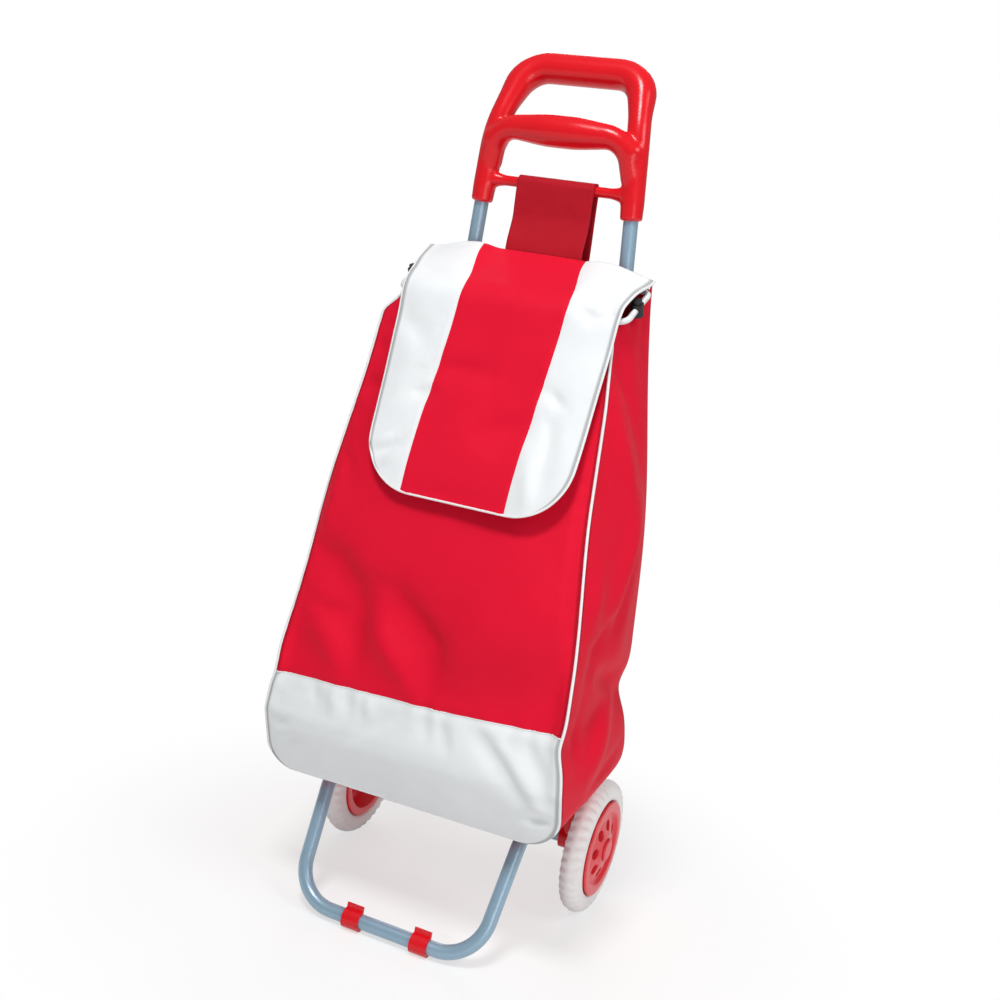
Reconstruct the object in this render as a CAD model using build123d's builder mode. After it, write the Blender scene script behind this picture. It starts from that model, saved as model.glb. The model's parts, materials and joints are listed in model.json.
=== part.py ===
"""Shopping trolley: a tube frame on two wheels, a moulded handle and a tapered cloth bag with a flap.

Sizes are in millimetres. +X is to the right of someone facing the trolley's front, +Y points
backwards and +Z up. The origin lies on the floor in the middle of the trolley's footprint.
A reach is a distance in front of the axle, and an offset a distance from the middle plane.
"""
import os
from math import atan, cos, hypot, pi, sin, tan

from build123d import *

os.makedirs("parts", exist_ok=True)

# Wheels
wheel_radius = 77.5
wheel_offset = 154.0
tyre_width = 25.0
tyre_shoulder = 6.0
rim_radius = 54.0
rim_bead = 1.5
rim_bead_width = 6.0
rim_wall = 10.0
rim_dish = 4.0
lip_height = 2.0
lip_width = 2.2
web_thickness = 4.0
hub_boss_radius = 12.0
hub_boss_out = 13.0
cone_foot_out = 11.0
cone_crest_out = 17.5
cone_crest_radius = 16.0
pocket_floor = 2.5
hub_hole_count = 8
hub_hole_ring = 28.0
hub_hole_radius = 6.4
hub_hole_turn = 37.0
tyre_fit = 0.05

# Axle
rod_radius = 4.0
rod_fit = 0.05
spacer_radius = 8.0
spacer_gap = 0.1
washer_thickness = 1.2
cap_radius = 12.5
cap_play = 0.7
cap_length = 6.0
cap_wall = 2.0
cap_dome = 2.0

# Tubes of the frame
tube_radius = 8.0
tube_wall = 1.2
tube_fit = 0.05

# Uprights
upright_foot_offset = 127.0
upright_foot_height = 92.0
socket_offset = 88.5
socket_height = 781.0
socket_depth = 20.0

# Axle brackets
bracket_inner = 116.0
bracket_outer = 138.5
bracket_boss_radius = 13.0
axle_tube_seat = 6.0
sleeve_wall = 2.5
sleeve_top_height = 190.0
spigot_length = 35.0

# Foot tube and its clips
arm_offset = 119.0
arm_end_reach = 14.0
knee_reach = 138.0
knee_bend = 40.0
foot_reach = 206.0
foot_offset = 110.0
foot_bend = 48.0
clip_wall = 3.2
clip_fit = 0.1
clip_width = 20.0
clip_sole_depth = 0.3
clip_left_place = -35.5
clip_right_place = 47.5
clip_mouth_angle = 95.0
clip_mouth_turn = 35.0
clip_lip_length = 5.0

# Rivets and screws
rivet_radius = 2.0
rivet_hole_fit = 0.05
rivet_head_radius = 3.8
rivet_head_height = 1.6
rivet_head_taper = 40.0
rivet_grip = 6.0
arm_rivet_reach = 32.0
upright_rivet_height = 150.0
handle_screw_rise = 10.0

# Handle
socket_wall = 4.0
socket_length = 26.0
leg_radius = 12.6
leg_start_rise = 19.0
handle_knee_offset = 83.0
handle_knee_drop = 65.0
handle_knee_bend = 100.0
top_grip_offset = 67.0
top_grip_back = 34.0
top_grip_rise = 151.5
top_grip_bend = 32.0
top_grip_radius = 16.3
top_grip_half_length = 40.0
top_grip_fullness = 0.8
middle_grip_foot_offset = 84.0
middle_grip_foot_rise = 41.0
middle_grip_offset = 75.0
middle_grip_forward = 10.0
middle_grip_drop = 68.5
middle_grip_bend = 30.0
middle_grip_radius = 17.0
middle_grip_half_length = 50.0
middle_grip_fullness = 0.5
crossbar_rise = 26.0
crossbar_radius = 6.2

# Bag, measured at the middle of the cloth's thickness
cloth = 2.0
seam_gap = 0.3
rest_gap = 0.3
bag_back_reach = 17.0
base_front_reach = 181.0
base_front_height = 143.5
base_back_height = 157.0
belly_reach = 202.0
belly_half_width = 175.0
belly_bulge = 8.0
corner_top_height = 215.0
corner_radius = 38.0
back_corner_radius = 50.0
seam_height = 268.0
mouth_front_reach = 88.0
mouth_drop = 56.0
mouth_narrowing = 44.0
mouth_bulge = 4.0
back_top_drop = 50.0
piping_radius = 2.3
piping_gap = 0.5
piping_bend = 30.0
board_half_width = 112.0
board_thickness = 4.0
board_corner = 20.0
board_margin = 14.0

# Strap loop
strap_width = 90.0
strap_bend = 20.0
strap_turn_play = 0.05
strap_front_bend_rise = 34.0
strap_back_bend_drop = 1.0
strap_back_end_drop = 41.0

# Mouth hem, drawstring and cord locks
cord_radius = 3.25
cord_corner = 14.0
cord_gap = 0.35
cord_inset = 1.0
hem_wall = 1.9
hem_front_reach = 90.0
hem_back_drop = 19.0
hem_end_room = 6.0
lock_reach = 60.0
lock_radius = 7.0
lock_wall = 1.8
lock_below = 7.5
lock_above = 6.0
lock_floor = 2.2
lock_panel_gap = 0.7
button_fit = 0.05
button_travel = 3.0
button_above = 4.0

# Flap
flap_cloth = 3.0
flap_hinge_reach = 18.8
flap_hinge_rise = 1.5
flap_hinge_gap = 0.5
flap_fold_reach = 97.0
flap_fold_rise = 17.0
flap_front_drop = 212.0
flap_stand_off = 18.0
flap_back_inset = 5.0
flap_fold_inset = 8.0
flap_bottom_inset = 16.0
flap_corner = 58.0
flap_stripe_half_width = 60.0
flap_piping_radius = 1.8
flap_piping_gap = 0.4
flap_fold_play = 0.4

# Places worked out from the sizes above
half_cloth = cloth / 2
clip_outer_radius = tube_radius + clip_fit + clip_wall
foot_height = clip_outer_radius - clip_sole_depth
front_reach = foot_reach + clip_outer_radius
axle_y = (front_reach - wheel_radius) / 2
axle_z = wheel_radius
axle_axis = Axis((0, axle_y, axle_z), (1, 0, 0))
axle_plane = Plane(origin=(0, axle_y, axle_z), x_dir=(1, 0, 0), z_dir=(0, -1, 0))
sides = ((-1, "left"), (1, "right"))


def y_at(reach):
    """The Y of a point that lies this far in front of the axle."""
    return axle_y - reach


def save(builder, name):
    """Label a finished piece and write it under its own name."""
    builder.part.label = name
    export_step(builder.part, f"parts/{name}.step")


# Wheel hubs and tyres
half_tyre = tyre_width / 2
hub_inner = wheel_offset - half_tyre
hub_outer = wheel_offset + hub_boss_out
rim_inner_radius = rim_radius - rim_wall
bore_radius = rod_radius + rod_fit
pocket_radius = cap_radius + cap_play

for side, word in sides:
    middle = side * wheel_offset
    cone_foot = middle + side * cone_foot_out
    cone_crest = middle + side * cone_crest_out
    web_foot = cone_foot - side * web_thickness
    web_crest = side * (hub_outer - pocket_floor)
    rim_out = middle + side * half_tyre
    rim_in = middle - side * half_tyre
    lip_out = rim_out + side * lip_width
    bead_half = rim_bead_width / 2

    with BuildPart() as hub:
        with BuildSketch(axle_plane):
            with BuildLine():
                Polyline(
                    (side * hub_inner, bore_radius),
                    (side * hub_outer, bore_radius),
                    (side * hub_outer, pocket_radius),
                    (cone_crest, pocket_radius),
                    (cone_crest, cone_crest_radius),
                    (cone_foot, rim_inner_radius - rim_dish),
                    (lip_out, rim_inner_radius),
                    (lip_out, rim_radius + lip_height / 2),
                    (rim_out + side * tyre_fit, rim_radius + lip_height),
                    (rim_out + side * tyre_fit, rim_radius),
                    (middle + side * bead_half, rim_radius),
                    (middle + side * bead_half, rim_radius + rim_bead),
                    (middle - side * bead_half, rim_radius + rim_bead),
                    (middle - side * bead_half, rim_radius),
                    (rim_in, rim_radius),
                    (rim_in, rim_inner_radius),
                    (web_foot, rim_inner_radius - rim_dish),
                    (web_crest, hub_boss_radius),
                    (side * hub_inner, hub_boss_radius),
                    close=True,
                )
            make_face()
        revolve(axis=axle_axis)
        with BuildSketch(Plane(origin=(middle, axle_y, axle_z), x_dir=(0, 1, 0), z_dir=(1, 0, 0))):
            with PolarLocations(hub_hole_ring, hub_hole_count, start_angle=hub_hole_turn):
                Circle(hub_hole_radius)
        extrude(amount=tyre_width, both=True, mode=Mode.SUBTRACT)
    save(hub, f"{word}_wheel_hub")

    with BuildPart() as tyre:
        with BuildSketch(axle_plane):
            with BuildLine():
                Polyline(
                    (rim_in, rim_radius + tyre_fit),
                    (middle - side * (bead_half + tyre_fit), rim_radius + tyre_fit),
                    (middle - side * (bead_half + tyre_fit), rim_radius + rim_bead + tyre_fit),
                    (middle + side * (bead_half + tyre_fit), rim_radius + rim_bead + tyre_fit),
                    (middle + side * (bead_half + tyre_fit), rim_radius + tyre_fit),
                    (rim_out, rim_radius + tyre_fit),
                    (rim_out, wheel_radius),
                    (rim_in, wheel_radius),
                    close=True,
                )
            make_face()
        revolve(axis=axle_axis)
        tread_edges = tyre.edges().filter_by(GeomType.CIRCLE).group_by(SortBy.RADIUS)[-1]
        fillet(tread_edges, tyre_shoulder)
    save(tyre, f"{word}_tyre")

# Axle rod, the tube round it, spacers, washers and caps
washer_inner = hub_outer + spacer_gap
cap_inner = washer_inner + washer_thickness + spacer_gap
rod_half_length = cap_inner + cap_length - cap_wall

with BuildPart() as axle_rod:
    with BuildSketch(Plane.YZ.offset(-rod_half_length)):
        with Locations((axle_y, axle_z)):
            Circle(rod_radius)
    extrude(amount=2 * rod_half_length)
save(axle_rod, "axle_rod")

with BuildPart() as axle_tube:
    axle_tube_half_length = bracket_inner + axle_tube_seat - seam_gap
    with BuildSketch(Plane.YZ.offset(-axle_tube_half_length)):
        with Locations((axle_y, axle_z)):
            Circle(tube_radius)
            Circle(tube_radius - tube_wall, mode=Mode.SUBTRACT)
    extrude(amount=2 * axle_tube_half_length)
save(axle_tube, "axle_tube")

with BuildPart() as axle_washers:
    spacer_start = bracket_outer + spacer_gap
    spacer_length = hub_inner - spacer_gap - spacer_start
    for side, word in sides:
        for start, length in ((spacer_start, spacer_length), (washer_inner, washer_thickness)):
            with BuildSketch(Plane.YZ.offset(side * start)):
                with Locations((axle_y, axle_z)):
                    Circle(spacer_radius)
                    Circle(bore_radius, mode=Mode.SUBTRACT)
            extrude(amount=side * length)
save(axle_washers, "axle_washers")

for side, word in sides:
    with BuildPart() as axle_cap:
        with BuildSketch(Plane.YZ.offset(side * cap_inner)):
            with Locations((axle_y, axle_z)):
                Circle(cap_radius)
        extrude(amount=side * cap_length)
        outer_rim = axle_cap.edges().sort_by(Axis.X)[-1 if side > 0 else 0]
        fillet(outer_rim, cap_dome)
        with BuildSketch(Plane.YZ.offset(side * cap_inner)):
            with Locations((axle_y, axle_z)):
                Circle(bore_radius)
        extrude(amount=side * (cap_length - cap_wall + seam_gap), mode=Mode.SUBTRACT)
    save(axle_cap, f"{word}_axle_cap")

# Uprights and the lines that the brackets and the handle take from them
upright_lean = (upright_foot_offset - socket_offset) / (socket_height - upright_foot_height)


def upright_offset(height):
    """How far an upright's middle line is from the middle plane at a height."""
    return upright_foot_offset - upright_lean * (height - upright_foot_height)


def upright_plane(side, height):
    """A plane across an upright at a height, facing up along the tube."""
    origin = (side * upright_offset(height), axle_y, height)
    return Plane(origin=origin, x_dir=(0, 1, 0), z_dir=(-side * upright_lean, 0, 1))


upright_stretch = hypot(1, upright_lean)
upright_length = (socket_height + socket_depth - upright_foot_height) * upright_stretch
rivet_hole_radius = rivet_radius + rivet_hole_fit

for side, word in sides:
    with BuildPart() as upright:
        with BuildSketch(upright_plane(side, upright_foot_height)):
            Circle(tube_radius)
            Circle(tube_radius - tube_wall, mode=Mode.SUBTRACT)
        extrude(amount=upright_length)
        for height in (upright_rivet_height, socket_height + handle_screw_rise):
            with BuildSketch(Plane(origin=(side * upright_offset(height), axle_y, height), z_dir=(0, 1, 0))):
                Circle(rivet_hole_radius)
            extrude(amount=tube_radius * 2, mode=Mode.SUBTRACT)
    save(upright, f"{word}_upright")

# The bag's base line in side view, and the arms that carry it
base_slope = (base_back_height - base_front_height) / (base_front_reach - bag_back_reach)
base_angle = atan(base_slope)
base_stretch = hypot(1, base_slope)


def base_height(reach):
    """Height of the bag's bottom cloth at a reach."""
    return base_front_height + (base_front_reach - reach) * base_slope


def arm_height(reach):
    """Height of an arm's middle line, so that the bottom cloth rests on the arm."""
    return base_height(reach) - (half_cloth + rest_gap + tube_radius) * base_stretch


arm_forward = Vector(0, -cos(base_angle), -sin(base_angle))
arm_down = Vector(0, sin(base_angle), -cos(base_angle))


def arm_rivet_plane(side):
    """A plane across an arm's rivet, facing down out of the arm."""
    origin = (side * arm_offset, y_at(arm_rivet_reach), arm_height(arm_rivet_reach))
    return Plane(origin=origin, x_dir=(1, 0, 0), z_dir=arm_down)


# Foot tube: arms, legs and crossbar in one bend
with BuildPart() as foot_tube:
    with BuildLine() as foot_line:
        FilletPolyline(
            (arm_offset, y_at(arm_end_reach), arm_height(arm_end_reach)),
            (arm_offset, y_at(knee_reach), arm_height(knee_reach)),
            (foot_offset, y_at(foot_reach), foot_height),
            (-foot_offset, y_at(foot_reach), foot_height),
            (-arm_offset, y_at(knee_reach), arm_height(knee_reach)),
            (-arm_offset, y_at(arm_end_reach), arm_height(arm_end_reach)),
            radius=[knee_bend, foot_bend, foot_bend, knee_bend],
        )
    with BuildSketch(Plane(origin=foot_line.line @ 0, z_dir=foot_line.line % 0)):
        Circle(tube_radius)
        Circle(tube_radius - tube_wall, mode=Mode.SUBTRACT)
    sweep()
    for side, word in sides:
        with BuildSketch(arm_rivet_plane(side)):
            Circle(rivet_hole_radius)
        extrude(amount=tube_radius * 2, mode=Mode.SUBTRACT)
save(foot_tube, "foot_tube")

# Clips on the foot's crossbar: open rings with flared lips and a flat sole
clip_inner_radius = tube_radius + clip_fit
clip_middle_radius = (clip_inner_radius + clip_outer_radius) / 2
clip_reach_out = clip_outer_radius + clip_lip_length

for place, word in ((clip_left_place, "left"), (clip_right_place, "right")):
    clip_plane = Plane(
        origin=(place - clip_width / 2, y_at(foot_reach), foot_height), x_dir=(0, 1, 0), z_dir=(1, 0, 0)
    )
    with BuildPart() as clip:
        with BuildSketch(clip_plane) as clip_ring:
            Circle(clip_outer_radius)
            mouth_low = (clip_mouth_turn - clip_mouth_angle / 2) * pi / 180
            mouth_high = (clip_mouth_turn + clip_mouth_angle / 2) * pi / 180
            mouth_far = 2 * clip_outer_radius
            with BuildLine():
                Polyline(
                    (0, 0),
                    (mouth_far * cos(mouth_low), mouth_far * sin(mouth_low)),
                    (mouth_far * cos(mouth_high), mouth_far * sin(mouth_high)),
                    close=True,
                )
            make_face(mode=Mode.SUBTRACT)
            for angle in (mouth_low, mouth_high):
                lip_middle = clip_middle_radius + clip_lip_length / 2
                lip_place = (lip_middle * cos(angle), lip_middle * sin(angle), 0)
                with Locations(Location(lip_place, angle * 180 / pi)):
                    Rectangle(clip_wall + clip_lip_length, clip_wall * 0.7)
            Circle(clip_inner_radius, mode=Mode.SUBTRACT)
        extrude(amount=clip_width)
        floor_cut = Plane(origin=(0, 0, 0), z_dir=(0, 0, 1))
        split(bisect_by=floor_cut, keep=Keep.TOP)
    save(clip, f"{word}_foot_clip")

# Axle brackets
sleeve_radius = tube_radius + tube_fit + sleeve_wall
spigot_radius = tube_radius - tube_wall - tube_fit

for side, word in sides:
    arm_end = Vector(side * arm_offset, y_at(arm_end_reach), arm_height(arm_end_reach))
    with BuildPart() as bracket:
        with BuildSketch(Plane.YZ.offset(side * bracket_inner)):
            with Locations((axle_y, axle_z)):
                Circle(bracket_boss_radius)
        extrude(amount=side * (bracket_outer - bracket_inner))
        with BuildSketch(upright_plane(side, axle_z + bracket_boss_radius / 2)):
            Circle(sleeve_radius)
        extrude(amount=(sleeve_top_height - axle_z - bracket_boss_radius / 2) * upright_stretch)
        with BuildSketch(Plane(origin=arm_end, x_dir=(1, 0, 0), z_dir=-arm_forward)):
            Circle(tube_radius)
        extrude(amount=arm_end_reach - seam_gap)
        with BuildSketch(Plane(origin=arm_end, x_dir=(1, 0, 0), z_dir=arm_forward)):
            Circle(spigot_radius)
        extrude(amount=spigot_length)
        with BuildSketch(upright_plane(side, upright_foot_height)):
            Circle(tube_radius + tube_fit)
        extrude(amount=upright_length, mode=Mode.SUBTRACT)
        with BuildSketch(Plane.YZ.offset(side * bracket_inner)):
            with Locations((axle_y, axle_z)):
                Circle(bore_radius)
        extrude(amount=side * (bracket_outer - bracket_inner), mode=Mode.SUBTRACT)
        with BuildSketch(Plane.YZ.offset(side * bracket_inner)):
            with Locations((axle_y, axle_z)):
                Circle(tube_radius + tube_fit)
        extrude(amount=side * axle_tube_seat, mode=Mode.SUBTRACT)
        height = upright_rivet_height
        with BuildSketch(Plane(origin=(side * upright_offset(height), axle_y, height), z_dir=(0, 1, 0))):
            Circle(rivet_hole_radius)
        extrude(amount=sleeve_radius * 2, mode=Mode.SUBTRACT)
        with BuildSketch(arm_rivet_plane(side)):
            Circle(rivet_hole_radius)
        extrude(amount=tube_radius * 2, mode=Mode.SUBTRACT)
    save(bracket, f"{word}_axle_bracket")

# Rivets through the brackets, and the screws of the handle
socket_radius = tube_radius + tube_fit + socket_wall


def fastener_planes(height):
    """Planes across the two uprights at a height, facing backwards."""
    return [
        Plane(origin=(side * upright_offset(height), axle_y, height), z_dir=(0, 1, 0)) for side, word in sides
    ]


rivet_seats = [(plane, sleeve_radius) for plane in fastener_planes(upright_rivet_height)]
rivet_seats += [(arm_rivet_plane(side), tube_radius) for side, word in sides]
screw_seats = [(plane, socket_radius) for plane in fastener_planes(socket_height + handle_screw_rise)]

for name, seats in (("bracket_rivets", rivet_seats), ("handle_screws", screw_seats)):
    with BuildPart() as fasteners:
        for plane, seat in seats:
            with BuildSketch(plane.offset(seat - rivet_grip)):
                Circle(rivet_radius)
            extrude(amount=rivet_grip)
            with BuildSketch(plane.offset(seat)):
                Circle(rivet_head_radius)
            extrude(amount=rivet_head_height, taper=rivet_head_taper)
    save(fasteners, name)

# Handle
leg_start = socket_height + leg_start_rise
top_grip_height = socket_height + top_grip_rise
handle_knee_height = top_grip_height - handle_knee_drop
middle_grip_foot_height = socket_height + middle_grip_foot_rise
middle_grip_height = top_grip_height - middle_grip_drop
crossbar_height = socket_height + crossbar_rise
grip_y = axle_y + top_grip_back
middle_y = y_at(middle_grip_forward)

with BuildPart() as handle:
    with BuildLine() as leg_line:
        FilletPolyline(
            (upright_offset(leg_start), axle_y, leg_start),
            (handle_knee_offset, axle_y, handle_knee_height),
            (top_grip_offset, grip_y, top_grip_height),
            (-top_grip_offset, grip_y, top_grip_height),
            (-handle_knee_offset, axle_y, handle_knee_height),
            (-upright_offset(leg_start), axle_y, leg_start),
            radius=[handle_knee_bend, top_grip_bend, top_grip_bend, handle_knee_bend],
        )
    with BuildSketch(Plane(origin=leg_line.line @ 0, z_dir=leg_line.line % 0)):
        Circle(leg_radius)
    sweep()
    with BuildLine() as middle_line:
        FilletPolyline(
            (middle_grip_foot_offset, axle_y, middle_grip_foot_height),
            (middle_grip_offset, middle_y, middle_grip_height),
            (-middle_grip_offset, middle_y, middle_grip_height),
            (-middle_grip_foot_offset, axle_y, middle_grip_foot_height),
            radius=[middle_grip_bend, middle_grip_bend],
        )
    with BuildSketch(Plane(origin=middle_line.line @ 0, z_dir=middle_line.line % 0)):
        Circle(leg_radius)
    sweep()
    for y, height, radius, half_length, fullness in (
        (grip_y, top_grip_height, top_grip_radius, top_grip_half_length, top_grip_fullness),
        (middle_y, middle_grip_height, middle_grip_radius, middle_grip_half_length, middle_grip_fullness),
    ):
        grip_plane = Plane(origin=(0, y, height), x_dir=(1, 0, 0), z_dir=(0, -1, 0))
        crest = leg_radius + (radius - leg_radius) * 4 / 3
        with BuildSketch(grip_plane):
            with BuildLine():
                Bezier(
                    (-half_length, leg_radius),
                    (-half_length * fullness, crest),
                    (half_length * fullness, crest),
                    (half_length, leg_radius),
                )
                Polyline(
                    (half_length, leg_radius),
                    (half_length, 0),
                    (-half_length, 0),
                    (-half_length, leg_radius),
                )
            make_face()
        revolve(axis=Axis((0, y, height), (1, 0, 0)))
    crossbar_half = upright_offset(crossbar_height)
    with BuildSketch(Plane.YZ.offset(-crossbar_half)):
        with Locations((axle_y, crossbar_height)):
            Circle(crossbar_radius)
    extrude(amount=2 * crossbar_half)
    for side, word in sides:
        with BuildSketch(upright_plane(side, socket_height)):
            Circle(socket_radius)
        extrude(amount=socket_length)
        with BuildSketch(upright_plane(side, socket_height)):
            Circle(tube_radius + tube_fit)
        extrude(amount=(socket_depth + seam_gap) * upright_stretch, mode=Mode.SUBTRACT)
    for plane in fastener_planes(socket_height + handle_screw_rise):
        with BuildSketch(plane):
            Circle(rivet_hole_radius)
        extrude(amount=socket_radius * 2, mode=Mode.SUBTRACT)
save(handle, "handle")

# Outline of the bag: half width and front reach at a height
back_top_height = socket_height - back_top_drop
mouth_front_height = back_top_height - mouth_drop
mouth_half_width = belly_half_width - mouth_narrowing
width_taper = mouth_narrowing / (mouth_front_height - corner_top_height)
piping_room = piping_radius + piping_gap


def half_width(height):
    """Half the bag's width at a height: upright beside the lower corners, tapering above them."""
    return belly_half_width - width_taper * max(0, height - corner_top_height)


def panel_reach(height):
    """Reach of the upper front panel's edges at a height."""
    return belly_reach + (mouth_front_reach - belly_reach) * (height - seam_height) / (
        mouth_front_height - seam_height
    )


# Front panels: thin strips lofted between levels, bulging forwards in the middle
lower_levels = (
    (base_front_height, base_front_reach, seam_gap),
    (corner_top_height, belly_reach, belly_bulge),
    (seam_height - seam_gap / 2, belly_reach, belly_bulge),
)
upper_levels = (
    (seam_height + seam_gap / 2, belly_reach, belly_bulge),
    (mouth_front_height, mouth_front_reach, mouth_bulge),
)
lower_rise = Vector(0, base_front_reach - belly_reach, corner_top_height - base_front_height)
lower_length = lower_rise.length
lower_normal = Vector(1, 0, 0).cross(lower_rise)
lower_plane = Plane(
    origin=(0, y_at(base_front_reach), base_front_height), x_dir=(1, 0, 0), z_dir=lower_normal
)

for name, levels in (("lower_front_panel", lower_levels), ("upper_front_panel", upper_levels)):
    with BuildPart() as panel:
        for height, reach, bulge in levels:
            edge = half_width(height) - piping_room
            front = y_at(reach + half_cloth)
            back = y_at(reach - half_cloth)
            with BuildSketch(Plane.XY.offset(height)):
                with BuildLine():
                    ThreePointArc((-edge, front), (0, front - bulge), (edge, front))
                    Line((edge, front), (edge, back))
                    ThreePointArc((edge, back), (0, back - bulge), (-edge, back))
                    Line((-edge, back), (-edge, front))
                make_face()
        loft(ruled=True)
        if name == "lower_front_panel":
            edge = belly_half_width - piping_room
            top = lower_length + seam_height
            with BuildSketch(lower_plane):
                with BuildLine():
                    FilletPolyline(
                        (-edge, top),
                        (-edge, piping_room),
                        (edge, piping_room),
                        (edge, top),
                        radius=[corner_radius - piping_room, corner_radius - piping_room],
                    )
                    Line((edge, top), (-edge, top))
                make_face()
            extrude(amount=belly_reach, both=True, mode=Mode.INTERSECT)
    save(panel, name)

# Bottom band with the bag's rounded lower corners
band_front_reach = base_front_reach - piping_room * lower_length / lower_rise.Z
band_front_plane = Plane(
    origin=(0, y_at(band_front_reach), base_height(band_front_reach)), x_dir=(1, 0, 0), z_dir=lower_normal
)
band_front_rise = (corner_top_height - base_height(band_front_reach)) * lower_length / lower_rise.Z
band_back_reach = bag_back_reach + half_cloth + seam_gap
band_back_plane = Plane(
    origin=(0, y_at(band_back_reach), base_height(band_back_reach)), x_dir=(1, 0, 0), z_dir=(0, -1, 0)
)
band_sections = (
    (band_front_plane, band_front_rise, corner_radius),
    (band_back_plane, corner_top_height - base_height(band_back_reach), back_corner_radius),
)

with BuildPart() as bottom_band:
    for plane, top, bend in band_sections:
        with BuildSketch(plane):
            for step, mode in ((half_cloth, Mode.ADD), (-half_cloth, Mode.SUBTRACT)):
                edge = belly_half_width + step
                with BuildLine():
                    FilletPolyline(
                        (-edge, top),
                        (-edge, -step),
                        (edge, -step),
                        (edge, top),
                        radius=[bend + step, bend + step],
                    )
                    Line((edge, top), (-edge, top))
                make_face(mode=mode)
    loft(ruled=True)
save(bottom_band, "bottom_band")

# Mouth line in side view: the drawstring's plane and the top of the side panels
cord_half_width = mouth_half_width - cord_inset
hem_radius = cord_radius + cord_gap + hem_wall
hem_half_length = cord_half_width - cord_corner - hem_end_room
hem_front_height = mouth_front_height + rest_gap + hem_radius
hem_back_reach = bag_back_reach + half_cloth + rest_gap + hem_radius
hem_back_height = back_top_height - hem_back_drop
mouth_slope = (hem_back_height - hem_front_height) / (hem_front_reach - hem_back_reach)
mouth_stretch = hypot(1, mouth_slope)
mouth_normal = Vector(0, -mouth_slope, 1).normalized()
mouth_along = Vector(0, 1, mouth_slope).normalized()


def cord_height(reach):
    """Height of the drawstring's middle line at a reach."""
    return hem_front_height + (hem_front_reach - reach) * mouth_slope


side_top_drop = (max(lock_radius, lock_below) + lock_panel_gap) * mouth_stretch

# Side panels
for side, word in sides:
    panel_back = band_back_reach
    with BuildPart() as side_panel:
        for height in (corner_top_height + seam_gap, seam_height):
            panel_front = belly_reach - piping_room
            edge = half_width(height)
            with BuildSketch(Plane.XY.offset(height)):
                with BuildLine():
                    Polyline(
                        (side * (edge - half_cloth), y_at(panel_front)),
                        (side * (edge + half_cloth), y_at(panel_front)),
                        (side * (edge + half_cloth), y_at(panel_back)),
                        (side * (edge - half_cloth), y_at(panel_back)),
                        close=True,
                    )
                make_face()
        panel_front = mouth_front_reach - piping_room
        front_height = cord_height(panel_front) - side_top_drop
        back_height = cord_height(panel_back) - side_top_drop
        top_plane = Plane(origin=(0, y_at(panel_front), front_height), x_dir=(1, 0, 0), z_dir=mouth_normal)
        top_run = (panel_front - panel_back) * mouth_stretch
        with BuildSketch(top_plane):
            with BuildLine():
                Polyline(
                    (side * (half_width(front_height) - half_cloth), 0),
                    (side * (half_width(front_height) + half_cloth), 0),
                    (side * (half_width(back_height) + half_cloth), top_run),
                    (side * (half_width(back_height) - half_cloth), top_run),
                    close=True,
                )
            make_face()
        loft(ruled=True)
    save(side_panel, f"{word}_side_panel")

# Back panel
with BuildPart() as back_panel:
    back_plane = Plane(origin=(0, y_at(bag_back_reach + half_cloth), 0), x_dir=(1, 0, 0), z_dir=(0, -1, 0))
    back_low = base_height(bag_back_reach) - half_cloth
    with BuildSketch(back_plane) as back_outline:
        with BuildLine():
            Polyline(
                (-belly_half_width - half_cloth, back_low),
                (belly_half_width + half_cloth, back_low),
                (belly_half_width + half_cloth, corner_top_height),
                (half_width(back_top_height) + half_cloth, back_top_height),
                (-half_width(back_top_height) - half_cloth, back_top_height),
                (-belly_half_width - half_cloth, corner_top_height),
                close=True,
            )
        make_face()
        fillet(back_outline.vertices().group_by(Axis.Y)[0], back_corner_radius + half_cloth)
    extrude(amount=-cloth)
save(back_panel, "back_panel")

# Base board lying inside the bag
base_plane = Plane(
    origin=(0, y_at(base_front_reach), base_front_height),
    x_dir=(1, 0, 0),
    z_dir=(0, -sin(base_angle), cos(base_angle)),
)
base_run = (base_front_reach - bag_back_reach) * base_stretch

with BuildPart() as base_board:
    with BuildSketch(base_plane.offset(half_cloth + rest_gap)):
        with Locations((0, base_run / 2)):
            RectangleRounded(2 * board_half_width, base_run - 2 * board_margin, board_corner)
    extrude(amount=board_thickness)
save(base_board, "base_board")

# Piping along the front panel's edge
with BuildPart() as bag_piping:
    piping_top = mouth_front_height - piping_room
    with BuildLine() as piping_line:
        right_side = [
            (half_width(piping_top), y_at(panel_reach(piping_top)), piping_top),
            (half_width(seam_height), y_at(belly_reach), seam_height),
            (belly_half_width, y_at(belly_reach), corner_top_height),
            (belly_half_width, y_at(base_front_reach), base_front_height),
        ]
        left_side = [(-x, y, z) for x, y, z in reversed(right_side)]
        FilletPolyline(
            *right_side,
            *left_side,
            radius=[piping_bend, piping_bend, corner_radius, corner_radius, piping_bend, piping_bend],
        )
    with BuildSketch(Plane(origin=piping_line.line @ 0, z_dir=piping_line.line % 0)):
        Circle(piping_radius)
    sweep()
save(bag_piping, "bag_piping")

# Strap loop over the handle's crossbar
strap_radius = crossbar_radius + rest_gap + half_cloth
strap_turn = strap_radius - strap_turn_play
strap_foot_reach = bag_back_reach - 2 * seam_gap
strap_foot_height = back_top_height + 2 * rest_gap
strap_end_reach = bag_back_reach - 2 * half_cloth - rest_gap

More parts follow.
